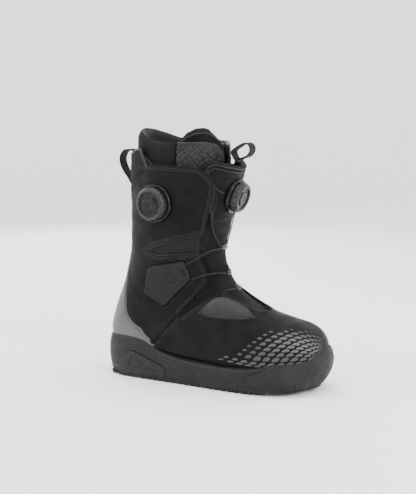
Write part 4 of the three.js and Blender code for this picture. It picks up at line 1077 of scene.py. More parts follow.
def build_ribs(name, side):
    """Ribbed film on the instep: a wing between two curves, ribbed along its length, with its tone
    falling away downwards and forwards, and painted shade in the troughs between the ribs."""
    high, low = curve(RIBS_HIGH, 120), curve(RIBS_LOW, 120)
    across = spread(70, 0.3)[:, None, None]
    place = low[None] * (1 - across) + high[None] * across
    s, a = on_side(place[..., 0], place[..., 1], side, 5.4, 9.4)
    along, up = np.linspace(0, 1, 121), np.linspace(0, 1, 71)[:, None]
    taper = step(along, 0, 0.06) * (1 - step(along, 0.94, 1))
    wave = 0.5 - 0.5 * np.cos(2 * np.pi * RIBS * up)
    edge = 71 * np.minimum(up, 1 - up)
    height = (0.12 + 0.42 * np.sqrt(wave)) * taper[None] * step(edge, 0, 3)
    outer, inner = last(s, a, -0.12 - height), last(s, a, 0.6 + 0 * height)
    piece = shell(f"instep_ribs_{name}", outer, inner, finish("ribs"), uv=lengths(outer))
    fade = 0.02 + 0.98 * up**2.2 * np.linspace(1, 0.3, 121)
    # painted shade: the tone is low in the troughs between the ribs and high on their crests
    set_tone(piece, np.tile((fade * (0.25 + 0.75 * wave)).ravel(), 2))


SCALE_OUTLINE = [
    (-0.54, -0.44), (-0.34, 0.02), (-0.12, 0.40), (0.22, 0.50), (0.46, 0.42), (0.52, 0.10),
    (0.40, -0.26), (0.10, -0.42), (-0.20, -0.44),
]
scale_reach = knots((10, 30), (24, 50), (34, 68), (46, 88), (60, 106), (74, 112), (82, 120), (90, 134),
                    (97, 150), (106, 158))


def build_scales():
    """Printed scales over the toe: staggered rows that run round it, each one a leaf leaning back,
    with its tone falling away from a painted highlight on the side of the toe, painted shade on
    the medial side and painted shading across each scale."""
    look = bpy.context.scene.boot_sizes
    pitch = look.scale_length / MM
    fine = np.linspace(0.02, 9, 400)
    trail = last(fine, 0 * fine + 78)
    run = np.concatenate([[0], np.cumsum(np.linalg.norm(np.diff(trail, axis=0), axis=1))])
    rows = np.arange(12, 108, 6.9)
    places = []
    for k, angle in enumerate(rows):
        for way in (-1, 1):
            at = np.arange(3.0 + pitch * 0.5 * (k % 2), scale_reach(angle) * (1 if way < 0 else 0.8), pitch)
            places.append(np.stack([at, 0 * at + angle, 0 * at + way], 1))
    at, angle, way = np.concatenate(places).T
    count = 14
    outline = curve(SCALE_OUTLINE, count, closed=True)
    rings = np.stack([outline * size for size in (1.0, 0.94, 0.6, 0.02)])
    rise = np.array([0.25, -0.16, -0.3, -0.34])
    ease = 1 - 0.45 * step(at / scale_reach(angle), 0.75, 1.0) - 0.25 * step(-angle, -45, -25)
    x = at[:, None, None] - rings[None, ..., 0] * (pitch * 0.84 * ease)[:, None, None]
    a = angle[:, None, None] - rings[None, ..., 1] * (5.9 * ease)[:, None, None]
    station = np.interp(x, run, fine)
    depth = np.broadcast_to(rise[None, :, None], x.shape)
    points = last(station, -way[:, None, None] * a, depth)
    one = cells(3, count, lambda i, j: i * count + j % count)
    faces = (one[None] + np.arange(len(at))[:, None, None] * 4 * count).reshape(-1, 4)
    piece = make("toe_scales", points, faces, finish("scales"), sharp=60)
    # painted highlight on the side of the toe, falling away from it; the lowest rows a little brighter
    painted_highlight = np.exp(-(((at - 44) / 46) ** 2) - ((angle - 60) / 22) ** 2)
    tone = 0.14 + 0.86 * painted_highlight + 0.3 * step(angle, 84, 100) * (1 - painted_highlight)
    # painted shade: the scales on the medial side are darker
    tone = tone * np.where(way < 0, 1, 0.75)
    # painted shading across each scale: its rim ring and one side of its outline darker
    painted_scale_shading = np.array([0.75, 1.0, 0.9, 0.8])[:, None] * np.linspace(1, 0.6, count)
    set_tone(piece, (np.clip(tone, 0, 1)[:, None] * painted_scale_shading.ravel()).ravel())


def cuff_places(side):
    """Front and top edge of a cuff panel, as places on the last."""
    s = np.linspace(9.8, 17.95, 160)
    front = np.stack([s, side * -cuff_front(s)], 1)
    v = np.linspace(0.0, 0.6, 80)
    high = cuff_high(v)
    top = np.stack([high, side * -mix(cuff_front(high), BACK_SEAM, v)], 1)
    places = smooth_path(np.vstack([front, top]) * [12, 1], 260, soft=4) / [12, 1]
    return np.column_stack([places, np.full(len(places), -0.35)])


def build_cuff(name, side):
    """One cuff panel with its vent, flex gusset and ankle plate. The panel is sunk under the vent's
    mesh, under the heel counter and under the back collar, and doubled along its edge."""
    up, across = grid(200, 132, 0.45, 0.45)
    station = mix(cuff_low(across), cuff_high(across), up)
    angle = mix(cuff_front(station), BACK_SEAM, across)
    turned = -side * angle
    plain = last(station, turned)
    flat = plain[..., [0, 2]]
    edge = cuff_places(side)
    gap, _ = nearest(plain, last(edge[:, 0], edge[:, 1]))
    depth = cut_edge(gap, CUFF_EDGE) - 0.4 * (1 - step(gap, 7.0, 8.2))
    foot = (station - cuff_low(across)) * MM_PER_STATION_LOW
    depth = depth + cut_edge(foot, CUFF_EDGE) * (across < 0.62)
    depth = depth - 0.4 * (1 - step(foot, 7.0, 8.2)) * (1 - step(across, 0.5, 0.62))
    vent = within(flat, VENT_LINE)
    depth = depth + 1.5 * step(vent, -0.4, 0.5) - 0.5 * np.exp(-(((vent + 1.4) / 0.9) ** 2))
    depth = depth - 0.3 * (step(vent, -8.6, -7.6) - step(vent, -1.0, 0.0)) * (depth > -0.3)
    beside_plate = within(flat, PLATE_LINE)
    depth = depth + 0.7 * step(beside_plate, -3.2, -1.2)
    behind = (angle - counter_edge(station)) * MM_PER_DEGREE * (station < 15.9)
    above = (station - collar_low(angle)) * MM_PER_STATION * (angle > 100)
    depth = depth + 1.2 * np.maximum(step(behind, 1.0, 3.0), step(above, 1.0, 3.0))
    depth = np.minimum(depth - soft_bumps(plain, 40, 0.3), 1.8)
    outer, inner = last(station, turned, depth), last(station, turned, PANEL + 0.1 + 0 * depth)
    piece = shell(f"cuff_cover_{name}", outer, inner, finish("nubuck"), uv=lengths(plain))
    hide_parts(f"cuff_panel_{name}")

    stitches(f"cuff_stitches_{name}", [edge[::-side]], finish("thread"), offsets=BORDER)
    loops = []
    for distance in (4.2, 6.4):
        ring = grown(VENT, distance)
        s, a = on_side(ring[:, 0], ring[:, 1], side, 11, 17)
        loops.append(np.stack([s, a, 0 * s - 0.3], 1))
    ring = grown(PLATE, 2.6)
    s, a = on_side(ring[:, 0], ring[:, 1], side, 9, 16)
    loops.append(np.stack([s, a, 0 * s - 0.1], 1))
    stitches(f"vent_stitches_{name}", loops, finish("thread"))

    rail_s, rail_a = on_side(*grown(VENT, 1.3).T, side, 11, 17)
    rail = last(rail_s, rail_a, -0.3)
    _, sideways, out = frames(rail, last_normal(rail_s, rail_a))
    piping = sweep(f"vent_piping_{name}", rail[:-1], sideways[:-1], out[:-1], circle(0.55, 8),
                   finish("binding"), closed=True)

    place = disc_places(grown(VENT, -0.2), 40)
    s, a = on_side(place[..., 0], place[..., 1], side, 11, 17)
    swell = 0.5 * step(within(place, VENT_LINE), 0, 5)
    vent_piece = disc(f"vent_mesh_{name}", s, a, 1.0 - swell, 1.9, finish("mesh"))
    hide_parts(f"ankle_vent_{name}")

    up, across = grid(26, 90)
    angle = mix(34, 79, across)
    station = mix(vamp_rear(angle) - 0.06, gusset_top(angle), up)
    depth = 1.2 - 0.7 * np.sin(np.pi * np.clip(up, 0, 1)) + 0.18 * np.cos(2 * np.pi * angle / 1.9)
    gusset = shell(
        f"gusset_cloth_{name}", last(station, -side * angle, depth),
        last(station, -side * angle, 0 * depth + PANEL), finish("gusset"),
        uv=lengths(last(station, -side * angle)),
    )
    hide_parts(f"flex_gusset_{name}")
    angle = np.linspace(40, 78, 60)
    low = np.stack([vamp_rear(angle), -side * angle, 0 * angle - 0.1], 1)
    high = np.stack([gusset_top(angle), -side * angle, 0 * angle - 0.3], 1)
    stitches(f"gusset_stitches_low_{name}", [low[::-side]], finish("thread"), offsets=(2.4, 4.8))
    stitches(f"gusset_stitches_high_{name}", [high[::side]], finish("thread"), offsets=(2.6, 5.0))
    build_plate(name, side)


def grown(outline, distance, count=260):
    """An outline moved out by a distance, each corner along its bisector, with round corners."""
    corner = np.asarray(outline, float)
    one = unit(corner - np.roll(corner, 1, 0))
    two = unit(np.roll(corner, -1, 0) - corner)
    area = np.sum(corner[:, 0] * np.roll(corner[:, 1], -1) - corner[:, 1] * np.roll(corner[:, 0], -1))
    turn = -np.sign(area)
    bisector = np.stack([-one[:, 1] - two[:, 1], one[:, 0] + two[:, 0]], 1) * turn
    stretch = distance / np.maximum(1 + np.sum(one * two, 1), 0.35)[:, None]
    line = rounded(corner + bisector * stretch, 3.5)
    ring = smooth_path(line, count, closed=True)
    return np.vstack([ring, ring[:1]])


def disc_places(ring, rings):
    """Side-view places from the middle of a closed outline out to it, close together at the edge."""
    ring = ring[:-1]
    middle = ring.mean(0)
    share = np.sin(np.linspace(0.004, 1, rings + 1) * np.pi / 2)[:, None, None]
    return middle + (ring - middle) * share


def disc(name, s, a, depth, under, finish_used):
    """A closed plate over the last from a disc of places: its top at depth and its back at under."""
    top = last(s, a, depth)
    back = last(s, a, 0 * s + under)
    flat = np.concatenate([top[..., [0, 2]], top[:, :1, [0, 2]]], axis=1)
    uv = np.concatenate([flat, flat[::-1]])
    return surface(name, np.concatenate([top, back[::-1]]), finish_used, uv=uv, sharp=50)


def build_plate(name, side):
    """The moulded ankle plate: a bevelled pentagon with a round boss let into it, two lace slots at
    its front edge and a parting line."""
    ring = grown(PLATE, 0.0, 300)
    place = disc_places(ring, 74)
    s, a = on_side(place[..., 0], place[..., 1], side, 9, 16)
    inward = within(place, ring[:-1])
    height = 3.0 - cut_edge(inward, 2.2, 2.0) - 0.35 * step(inward, 3.6, 4.4)
    boss = np.hypot(place[..., 0] - 113, place[..., 1] - 134)
    height = height - 0.7 * (step(boss, 4.6, 5.2) - step(boss, 6.4, 7.0))
    for x, z in ((127.5, 144.5), (129.0, 139.5)):
        slot = np.hypot((place[..., 0] - x) / 2.1, (place[..., 1] - z) / 1.5)
        height = height - 1.3 * (1 - step(slot, 0.75, 1.1))
    line = np.array([(80.5, 119.0), (93.0, 123.5), (96.0, 127.0)])
    near, _ = nearest(place, line)
    height = height - 0.5 * (1 - step(near, 0.25, 0.7))
    piece = disc(f"ankle_shield_{name}", s, a, -height, 0.6, finish("plate"))
    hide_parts(f"ankle_plate_{name}")


COUNTER_SPAN = (9.2, 15.88)  # stations of its lower and upper end


def build_counter():
    """Heel counter: a moulded cup that narrows up the back, with a raised stitched strip along its
    edge, and the tape above it that covers the back seam."""
    up, across = grid(130, 120, 0.3, 0.75)
    station = mix(*COUNTER_SPAN, up)
    edge = counter_edge(station)
    angle = mix(edge, 360 - edge, across)
    plain = last(station, angle)
    s = np.linspace(*COUNTER_SPAN, 140)
    rails = [last(s, counter_edge(s)), last(s[::-1], -counter_edge(s[::-1]))]
    gap = np.minimum(*(nearest(plain, rail)[0] for rail in rails))
    depth = cut_edge(gap, 0.9) - 0.45
    depth = depth + 0.35 * step(gap, 6.2, 6.9) - soft_bumps(plain, 60, 0.25)
    outer, inner = last(station, angle, depth), last(station, angle, 0 * depth + 1.9)
    piece = shell("heel_cup", outer, inner, finish("film"), uv=lengths(plain))
    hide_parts("heel_counter")
    paths = []
    for way in (-1, 1):
        s = np.linspace(9.5, 15.2, 120)
        paths.append(np.stack([s, way * counter_edge(s), 0 * s - 0.55], 1)[::-way])
    stitches("counter_stitches", paths, finish("thread"), offsets=(-2.2, -4.4))

    s = np.linspace(15.55, 17.15, 60)
    piece = trim("back_tape", s, 0 * s + 180, 0.2, strap_profile(13.0, 1.3), finish("webbing"))


def strap_profile(width, thickness, count=8):
    """A flat strap's section: a rectangle whose short sides are half circles."""
    turn = np.linspace(-np.pi / 2, np.pi / 2, count)
    half = np.stack([width / 2 + thickness / 2 * (np.cos(turn) - 1), thickness / 2 * np.sin(turn)], 1)
    flat = np.linspace(-1, 1, 9)[1:-1, None] * [width / 2 - thickness / 2, 0]
    low, high = flat - [0, thickness / 2], flat[::-1] + [0, thickness / 2]
    return np.vstack([low, half, high, -half])


COLLAR_TURN = (112.5, 247.5)  # angles of its two ends


def build_collar():
    """The back collar: stretch canvas with a fold in it, bound along its top edge."""
    up, across = grid(60, 130, 0.6, 0.6)
    angle = mix(*COLLAR_TURN, across)
    same = fold(angle)
    station = mix(collar_low(same), collar_high(same), up)
    plain = last(station, angle)
    top_angle = np.linspace(*COLLAR_TURN, 140)
    rail = last(collar_high(fold(top_angle)), top_angle)
    gap, _ = nearest(plain, rail)
    side_gap = np.minimum(angle - COLLAR_TURN[0], COLLAR_TURN[1] - angle)
    depth = cut_edge(gap, 1.0) - 0.5 * step(up, 0, 0.08)
    fold_line = np.abs(station - collar_low(same) - 0.2 - (same - 125) * 0.012) * MM_PER_STATION
    depth = depth + 0.7 * np.exp(-((fold_line / 1.1) ** 2)) * step(side_gap, 0, 4)
    depth = depth - soft_bumps(plain, 22, 0.4)
    outer, inner = last(station, angle, depth), last(station, angle, 0 * depth + PANEL)
    piece = shell("collar_cloth", outer, inner, finish("canvas"), uv=lengths(plain))
    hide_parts("back_collar")
    s = collar_high(fold(top_angle))
    binding = trim("collar_binding", s, top_angle, 1.0, circle(1.5, 12, 1.25), finish("binding"))
    s = collar_low(fold(top_angle))
    paths = [np.stack([s + 0.07, top_angle, 0 * s - 0.6], 1)]
    stitches("collar_stitches", paths, finish("thread"), offsets=(0.0,))


# ---------------------------------------------------------------- the tongue
CREASE = 10.6  # station where the tongue folds
SPLIT = 15.8  # station where the canvas meets the plate
CLEAR = 3.4  # degrees that the tilting part stays inside the throat
RIM_HEIGHT = 0.33
tongue_flare = knots((16.9, 0), (17.6, 4), (18.3, 11), (19.5, 16))
tongue_top = knots((0, 18.58), (25, 18.75), (36, 18.86), (42, 18.75), (46.5, 18.4), (50, 17.8))


def tongue_side(station):
    """Angle of the tongue's edge: inside the throat, and flared over the top of the cuff panels."""
    return throat(station) - CLEAR + tongue_flare(station)


def leaf(name, low, high, rows, cols, depth_at, finish_used, body="tongue"):
    """A strip of the tongue between two station rails, raised by depth_at(up, across, points)."""
    up, across = grid(rows, cols, 0.5, 0.6)
    way = 2 * across - 1
    station = mix(low(np.abs(way) * 50), high(np.abs(way) * 50), up)
    angle = way * tongue_side(station)
    plain = last(station, angle, INSIDE)
    outer = last(station, angle, INSIDE + depth_at(up, across, plain))
    inner = last(station, angle, INSIDE + TONGUE + 0 * up)
    return shell(name, outer, inner, finish_used, uv=lengths(plain), body=body)


def build_tongue():
    """The outer tongue: canvas over the instep and the shin, the padded plate above it with its
    bound rim, and the thin wings that join it to the shell."""
    up, across = grid(120, 80, 0.3, 0.5)
    station = mix(4.75, CREASE - 0.05, up)
    angle = (2 * across - 1) * np.minimum(throat(station) + 9, 43)
    plain = last(station, angle, INSIDE)
    pleats = 0.35 * np.cos(2 * np.pi * (station - 9.6) / 0.34) * step(station, 9.3, 9.9)
    depth = INSIDE - 1.2 - pleats - soft_bumps(plain, 24, 0.5)
    outer, inner = last(station, angle, depth), last(station, angle, 0 * depth + INSIDE + TONGUE)
    low = shell("instep_canvas", outer, inner, finish("canvas"), uv=lengths(plain))
    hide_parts("tongue_instep")

    def canvas_depth(up, across, points):
        """Doubled along its two edges, and a little uneven."""
        edge = np.minimum(across, 1 - across)
        return -0.6 * step(edge, 0, 0.05) - soft_bumps(points, 30, 0.7)

    level = lambda s: (lambda angle: s + 0 * angle)
    shin = leaf("shin_canvas", level(CREASE - 0.35), level(SPLIT), 120, 70, canvas_depth, finish("canvas"),
                body=None)
    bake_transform(shin)
    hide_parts("tongue_shin")

    def plate_depth(up, across, points):
        """Round at its cut edges, and doubled along them."""
        edge = np.minimum(across, 1 - across) * 85
        doubled = 0.4 * (1 - step(edge, 6, 7)) + 0.5 * (1 - step(up * 75, 5.4, 6.4))
        return cut_edge(np.minimum(edge, up * 75), 1.4) - 0.5 - doubled - soft_bumps(points, 36, 0.4)

    top = lambda angle: tongue_top(angle) - RIM_HEIGHT + 0.04
    plate_piece = leaf("tongue_cover", level(SPLIT - 0.02), top, 110, 90, plate_depth, finish("nubuck"))
    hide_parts("tongue_plate")
    s = np.linspace(SPLIT + 0.1, 18.3, 80)
    paths = [np.stack([s, way * tongue_side(s), 0 * s + INSIDE - 0.8], 1)[::-way] for way in (-1, 1)]
    stitches("plate_stitches", paths, finish("thread"), body="tongue", offsets=(2.6, 4.8))
    a = np.linspace(-36, 36, 70)
    low_path = np.stack([0 * a + SPLIT, a, 0 * a + INSIDE - 1.0], 1)
    stitches("plate_stitches_low", [low_path], finish("thread"), body="tongue", offsets=(-1.8, -3.9))
    build_rim()
    build_lines()

    for name, side in SIDES:
        up, across = grid(60, 10)
        station = mix(CREASE + 0.05, 18.2, up)
        inside = throat(station) - CLEAR + 0.8
        turned = -side * mix(inside - 1.5, inside + 17, across)
        wave = 0.35 * np.sin(up * 40) * np.sin(np.pi * across)
        outer = last(station, turned, INSIDE - 0.1 + wave)
        inner = last(station, turned, INSIDE + 1.2 + wave)
        wing = shell(f"wing_cloth_{name}", outer, inner, finish("canvas"), uv=lengths(outer), body=None)
        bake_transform(wing)
        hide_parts(f"tongue_wing_{name}")


def cushion(name, outer, inner, finish_used, body, cap, fixed, uv=None, pressure=4.0):
    """A padded piece between two walls of points, blown up as cloth under pressure where fixed is
    below one, with each point's move held under cap millimetres."""
    piece = shell(name, outer, inner, finish_used, uv=uv, body=body, sharp=180)
    inflate(piece, cap, np.concatenate([fixed.ravel(), np.ones(fixed.size)]), pressure)
    soften = piece.modifiers.new("Round", "SUBSURF")
    soften.levels = soften.render_levels = 1
    return piece


def inflate(piece, cap, pins, pressure):
    """Cloth simulation of a closed pad: pressure inside, no gravity, and its pinned points held. The
    result is the start plus the simulated move, which is shortened to cap where it is longer."""
    mesh = piece.data
    count = len(mesh.vertices)
    start = np.zeros(count * 3)
    mesh.vertices.foreach_get("co", start)
    start = start.reshape(-1, 3)
    group = piece.vertex_groups.new(name="held")
    for weight in np.unique(np.round(pins, 1)):
        picked = np.flatnonzero(np.round(pins, 1) == weight)
        if weight > 0:
            group.add(picked.tolist(), float(weight), "REPLACE")
    cloth = piece.modifiers.new("Pad", "CLOTH")
    cloth.settings.quality = 5
    cloth.settings.mass = 0.2
    cloth.settings.use_pressure = True
    cloth.settings.uniform_pressure_force = pressure
    cloth.settings.effector_weights.gravity = 0.0
    cloth.settings.vertex_group_mass = "held"
    cloth.settings.pin_stiffness = 1.0
    scene = bpy.context.scene
    for number in range(1, 21):
        scene.frame_set(number)
    graph = bpy.context.evaluated_depsgraph_get()
    moved = np.zeros(count * 3)
    piece.evaluated_get(graph).data.vertices.foreach_get("co", moved)
    move = moved.reshape(-1, 3) - start
    far = np.linalg.norm(move, axis=1, keepdims=True)
    move = move * np.minimum(1, cap * MM / np.maximum(far, 1e-9))
    piece.modifiers.remove(cloth)
    scene.frame_set(1)
    mesh.vertices.foreach_set("co", (start + np.nan_to_num(move)).ravel())
    mesh.update()


def build_rim():
    """The padded binding along the top of the tongue, blown up between its two seams, with a welt
    at its foot."""
    up, across = grid(8, 60, 0.4, 0.5)
    way = 2 * across - 1
    high = tongue_top(np.abs(way) * 50)
    station = mix(high - RIM_HEIGHT, high, up)
    angle = way * tongue_side(station)
    bulge = np.sin(np.pi * np.clip(up, 0.0, 1.0)) ** 0.6
    outer = INSIDE + 1.6 - 2.6 * bulge
    inner = INSIDE + TONGUE - 0.6 + 1.6 * bulge
    fixed = 1.0 - step(np.minimum(up, 1 - up), 0.0, 0.2)
    plain = last(station, angle, INSIDE)
    rim = cushion("tongue_binding", last(station, angle, outer), last(station, angle, inner),
                  finish("canvas"), "tongue", 3.0, fixed, uv=lengths(plain))
    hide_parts("tongue_rim")
    way = np.linspace(-1, 1, 90)
    for k, lower in enumerate((0.0, 0.16)):
        s = tongue_top(np.abs(way) * 50) - RIM_HEIGHT + lower
        a = way * tongue_side(s)
        welt = trim(f"tongue_welt_{k}", s, a, INSIDE - 0.5 - 0.7 * k, circle(0.75, 8), finish("binding"),
                    body="tongue")


def build_lines():
    """Two fine printed rules on the tongue's plate."""
    for k, (station, low, high) in enumerate(((17.92, 9, 27), (17.62, 14, 27))):
        a = np.linspace(high, low, 40)
        rule = trim(f"tongue_rule_{k}", station + 0 * a, a, INSIDE - 1.0, circle(0.28, 6, 0.5),
                    finish("ribs"), body="tongue")


# ---------------------------------------------------------------- the liner
LINER_SPLIT = 11.1
LINER_WALL = 5.0
collar_rim = knots((86, 19.5), (114, 19.5), (125, 19.57), (140, 19.72), (160, 19.86), (180, 19.92))
wrap_rim = knots((12, 19.0), (20, 19.15), (35, 19.45), (57, 19.55), (86, 19.48))
crown_rim = knots((-84, 300.0), (-60, 303.0), (-30, 304.0), (0, 306.0), (20, 312.0), (36, 318.0),
                  (50, 320.0), (64, 319.0), (76, 314.0), (84, 305.0))
crown_depth = knots((0, 32.5), (30, 32.0), (58, 24.0), (86, 14.6))


def liner_depth(station, angle):
    """Depth of the liner's face: set back behind the tongue in front, on the lining at the sides
    and on the lasting board below."""
    turn = fold(angle)
    beside = INSIDE + 0.3 + 2.2 * step(station, 10, 11)
    on_board = INSIDE + 2.5
    behind = INSIDE + TONGUE + 2.0 + 14 * step(station, 15.8, 19.2)
    below = step(turn, 128, 142) * (1 - step(station, 10.3, 11))
    return mix(mix(beside, on_board, below), behind, 1 - step(turn, 30, 86))


def build_liner():
    """The liner: its knitted collar, the two embossed wraps over the shin, the inner tongue with its
    crown, the foot and the footbed. The parts above the shell are padded and blown up as cloth."""
    up, across = grid(44, 64, -0.3, 0.3)
    angle = mix(87, 273, across)
    station = mix(LINER_SPLIT, collar_rim(fold(angle)), up ** 0.7)
    face = liner_depth(station, angle)
    near_rim = (1 - up) * 150
    roll = 1 - np.sqrt(np.clip(1 - np.clip(1 - near_rim / 6, 0, 1) ** 2, 0, 1))
    outer, inner = face - 0.5 + 4.5 * roll, face + LINER_WALL + 4.0 - 4.5 * roll
    fixed = 1 - step(station, 17.6, 18.6) * (1 - roll ** 3) * step(np.minimum(across, 1 - across), 0, 0.02)
    collar = cushion("liner_cuff", last(station, angle, outer), last(station, angle, inner),
                     finish("knit"), "shell", 3.0, fixed, uv=lengths(last(station, angle, face)))
    paint_inside(collar, station.size, "fleece")
    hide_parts("liner_collar")

    for name, side in SIDES:
        up, across = grid(150, 100, 0.2, 0.4)
        angle = mix(12, 86, across)
        station = mix(LINER_SPLIT, wrap_rim(angle), up ** 0.5)
        turned = -side * angle
        face = liner_depth(station, angle)
        plain = last(station, turned, face)
        near = (1 - up) * 110
        border = np.minimum(near, across * 75)
        weave = basket(lengths(plain), near)
        depth = face + cut_edge(border, 2.6, 2.4) - 1.2 * weave
        lining = face + 4.0 - np.clip(1 - border / 2.6, 0, 1)
        wrap = shell(f"liner_flap_{name}", last(station, turned, depth), last(station, turned, lining),
                     finish("emboss"), uv=lengths(plain))
        # painted shade: the tone follows the basket weave's height, so its hollows come out near black
        set_tone(wrap, np.tile(np.clip(weave + 0.4, 0, 1).ravel(), 2))
        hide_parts(f"liner_wrap_{name}")
        a = np.linspace(14, 86, 70)
        s = wrap_rim(a)
        edge = trim(f"liner_flap_edge_{name}", s, -side * a, liner_depth(s, a) + 1.6, circle(1.3, 10),
                    finish("binding"))

    up, across = grid(46, 90, -0.3, 0.3)
    angle = mix(-84, 84, across)
    station = mix(9.3, 18.0, np.minimum(up / 0.55, 1))
    lift = np.clip((up - 0.55) / 0.45, 0, 1)
    near_rim = (1 - lift) * 32
    roll = 1 - np.sqrt(np.clip(1 - np.clip(1 - near_rim / 7, 0, 1) ** 2, 0, 1))
    face = crown_depth(np.abs(angle))
    bare = mix(liner_depth(station, angle) + LINER_WALL + 2.0, face, step(station, 14, 17.5))
    fixed = 1 - step(lift, 0.2, 0.5) * step(np.minimum(across, 1 - across), 0, 0.03)
    walls = []
    for depth in (bare - 2 + 5.5 * roll, bare + 9 - 5.5 * roll):
        place = last(station, angle, depth)
        place[..., 2] = mix(place[..., 2], crown_rim(angle), lift)
        walls.append(place)
    crown = cushion("liner_crown", *walls, finish("knit"), "shell", 3.0, fixed,
                    uv=lengths(last(mix(9.3, 20, up), angle, bare)))
    paint_inside(crown, station.size, "fleece")
    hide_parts("liner_tongue")
    a = np.linspace(-80, 80, 160)
    rail = last(18.0 + 0 * a, a, crown_depth(np.abs(a)) - 1.8)
    rail[:, 2] = crown_rim(a) - 6.5
    _, sideways, out = frames(rail, last_normal(18.0 + 0 * a, a))
    edge = sweep("crown_binding", rail, sideways, out, circle(0.9, 10), finish("binding"))

    up, across = grid(70, 72)
    station, angle = mix(1.0, LINER_SPLIT + 0.05, up), across[:, :] * 360
    face = liner_depth(station, angle)
    outer, inner = last(station, angle, face), last(station, angle, face + LINER_WALL)
    close = lambda rings: np.concatenate([rings[:1].mean(1, keepdims=True) + 0 * rings[:1], rings])
    outer, inner = close(outer[:, :-1]), close(inner[:, :-1])
    foot = surface("liner_sock", np.concatenate([outer, inner[::-1]]), finish("fleece"),
                   uv=ring_lengths(np.concatenate([outer, inner[::-1]])))
    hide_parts("liner_foot")

    up, across = grid(80, 30, 0.3, 0.5)
    station, angle = mix(2.2, 10.2, up), mix(150, 210, across)
    face = liner_depth(station, angle) + LINER_WALL + 1.0
    corner = np.clip(1 - np.minimum(across, 1 - across) * 60 / 3, 0, 1)
    crown = 2.2 * corner**2 - 0.8
    bed = shell("footbed_pad", last(station, angle, face + 3.5 - crown), last(station, angle, face),
                finish("fleece"), uv=lengths(last(station, angle, face)))
    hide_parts("footbed")


def paint_inside(piece, count, name):
    """The faces of a shell's inner wall, which use its second half of vertices, in another finish."""
    mesh = piece.data
    mesh.materials.append(finish(name))
    loops = np.zeros(len(mesh.loops), int)
    mesh.loops.foreach_get("vertex_index", loops)
    inner = (loops.reshape(-1, 4) >= count).all(1)
    mesh.polygons.foreach_set("material_index", inner.astype(np.int32))
    mesh.update()


def basket(cloth, near):
    """Basket weave pressed into the wraps: slanted blocks of two straps that change direction over
    a chequer, each strap a rounded ridge."""
    u, v = (cloth[..., 0] + cloth[..., 1]) / 1.414, (cloth[..., 1] - cloth[..., 0]) / 1.414
    cell = 9.4
    across = (np.floor(u / cell) + np.floor(v / cell)) % 2
    t = np.where(across > 0, u, v) / cell * 2
    end = np.where(across > 0, v, u) / cell
    ridge = np.abs(np.sin(np.pi * t)) ** 0.45
    cap = np.abs(np.sin(np.pi * end)) ** 0.35
    return (1.25 * ridge * cap - 0.5) * step(near, 1.5, 5)


# ---------------------------------------------------------------- the dials
SIDE_DIAL_AT = (17.07, 101.0, 0.0)
FRONT_DIAL_AT = (17.15, 0.0, INSIDE)
DIAL_SEAT = 3.1
DIAL_HEIGHT = 12.6
WELL_SHARE = 0.62  # the well for the spool, of the knob's radius
PLUG_SHARE = 0.81  # the plug let into the panel, of the same
FACE_ROWS = 46


def dial_axes(place):
    """Origin and the right, up and out directions of a dial's seat on the last."""
    out = last_normal(*place)
    up = unit(np.array([0, 0, 1.0]) - out * out[2])
    return last(*place), np.stack([np.cross(up, out), up, out])


def turned(name, profile, place, finish_used, body, segments=144, radius_wave=None, height_wave=None):
    """A turned piece on a dial's axis from a closed (radius, height) profile, its radius scaled and
    its height moved by functions of the profile's share and the angle."""
    line = np.asarray(profile, float)
    turn = np.arange(segments) / segments * 2 * np.pi
    r = line[:, :1] + 0 * turn
    h = line[:, 1:] + 0 * turn
    if radius_wave:
        r = r * radius_wave(line[:, :1], line[:, 1:], turn)
    if height_wave:
        h = h + height_wave(r, turn)
    local = np.stack([r * np.cos(turn), r * np.sin(turn), h], -1)
    origin, axes = dial_axes(place)
    points = origin + local @ axes
    return surface(name, points, finish_used, uv=ring_lengths(points), sharp=32, body=body)


def profile_line(corners, fillet=0.5):
    """An open profile with round corners, closed in on the axis at both ends."""
    corner = np.asarray(corners, float)
    found = [corner[0]]
    for before, here, after in zip(corner[:-2], corner[1:-1], corner[2:]):
        one, two = before - here, after - here
        reach = min(fillet, np.linalg.norm(one) / 2.2, np.linalg.norm(two) / 2.2)
        a, b = here + one / np.linalg.norm(one) * reach, here + two / np.linalg.norm(two) * reach
        found += [a, (a + 2 * here + b) / 4, b]
    return np.array(found + [corner[-1]])


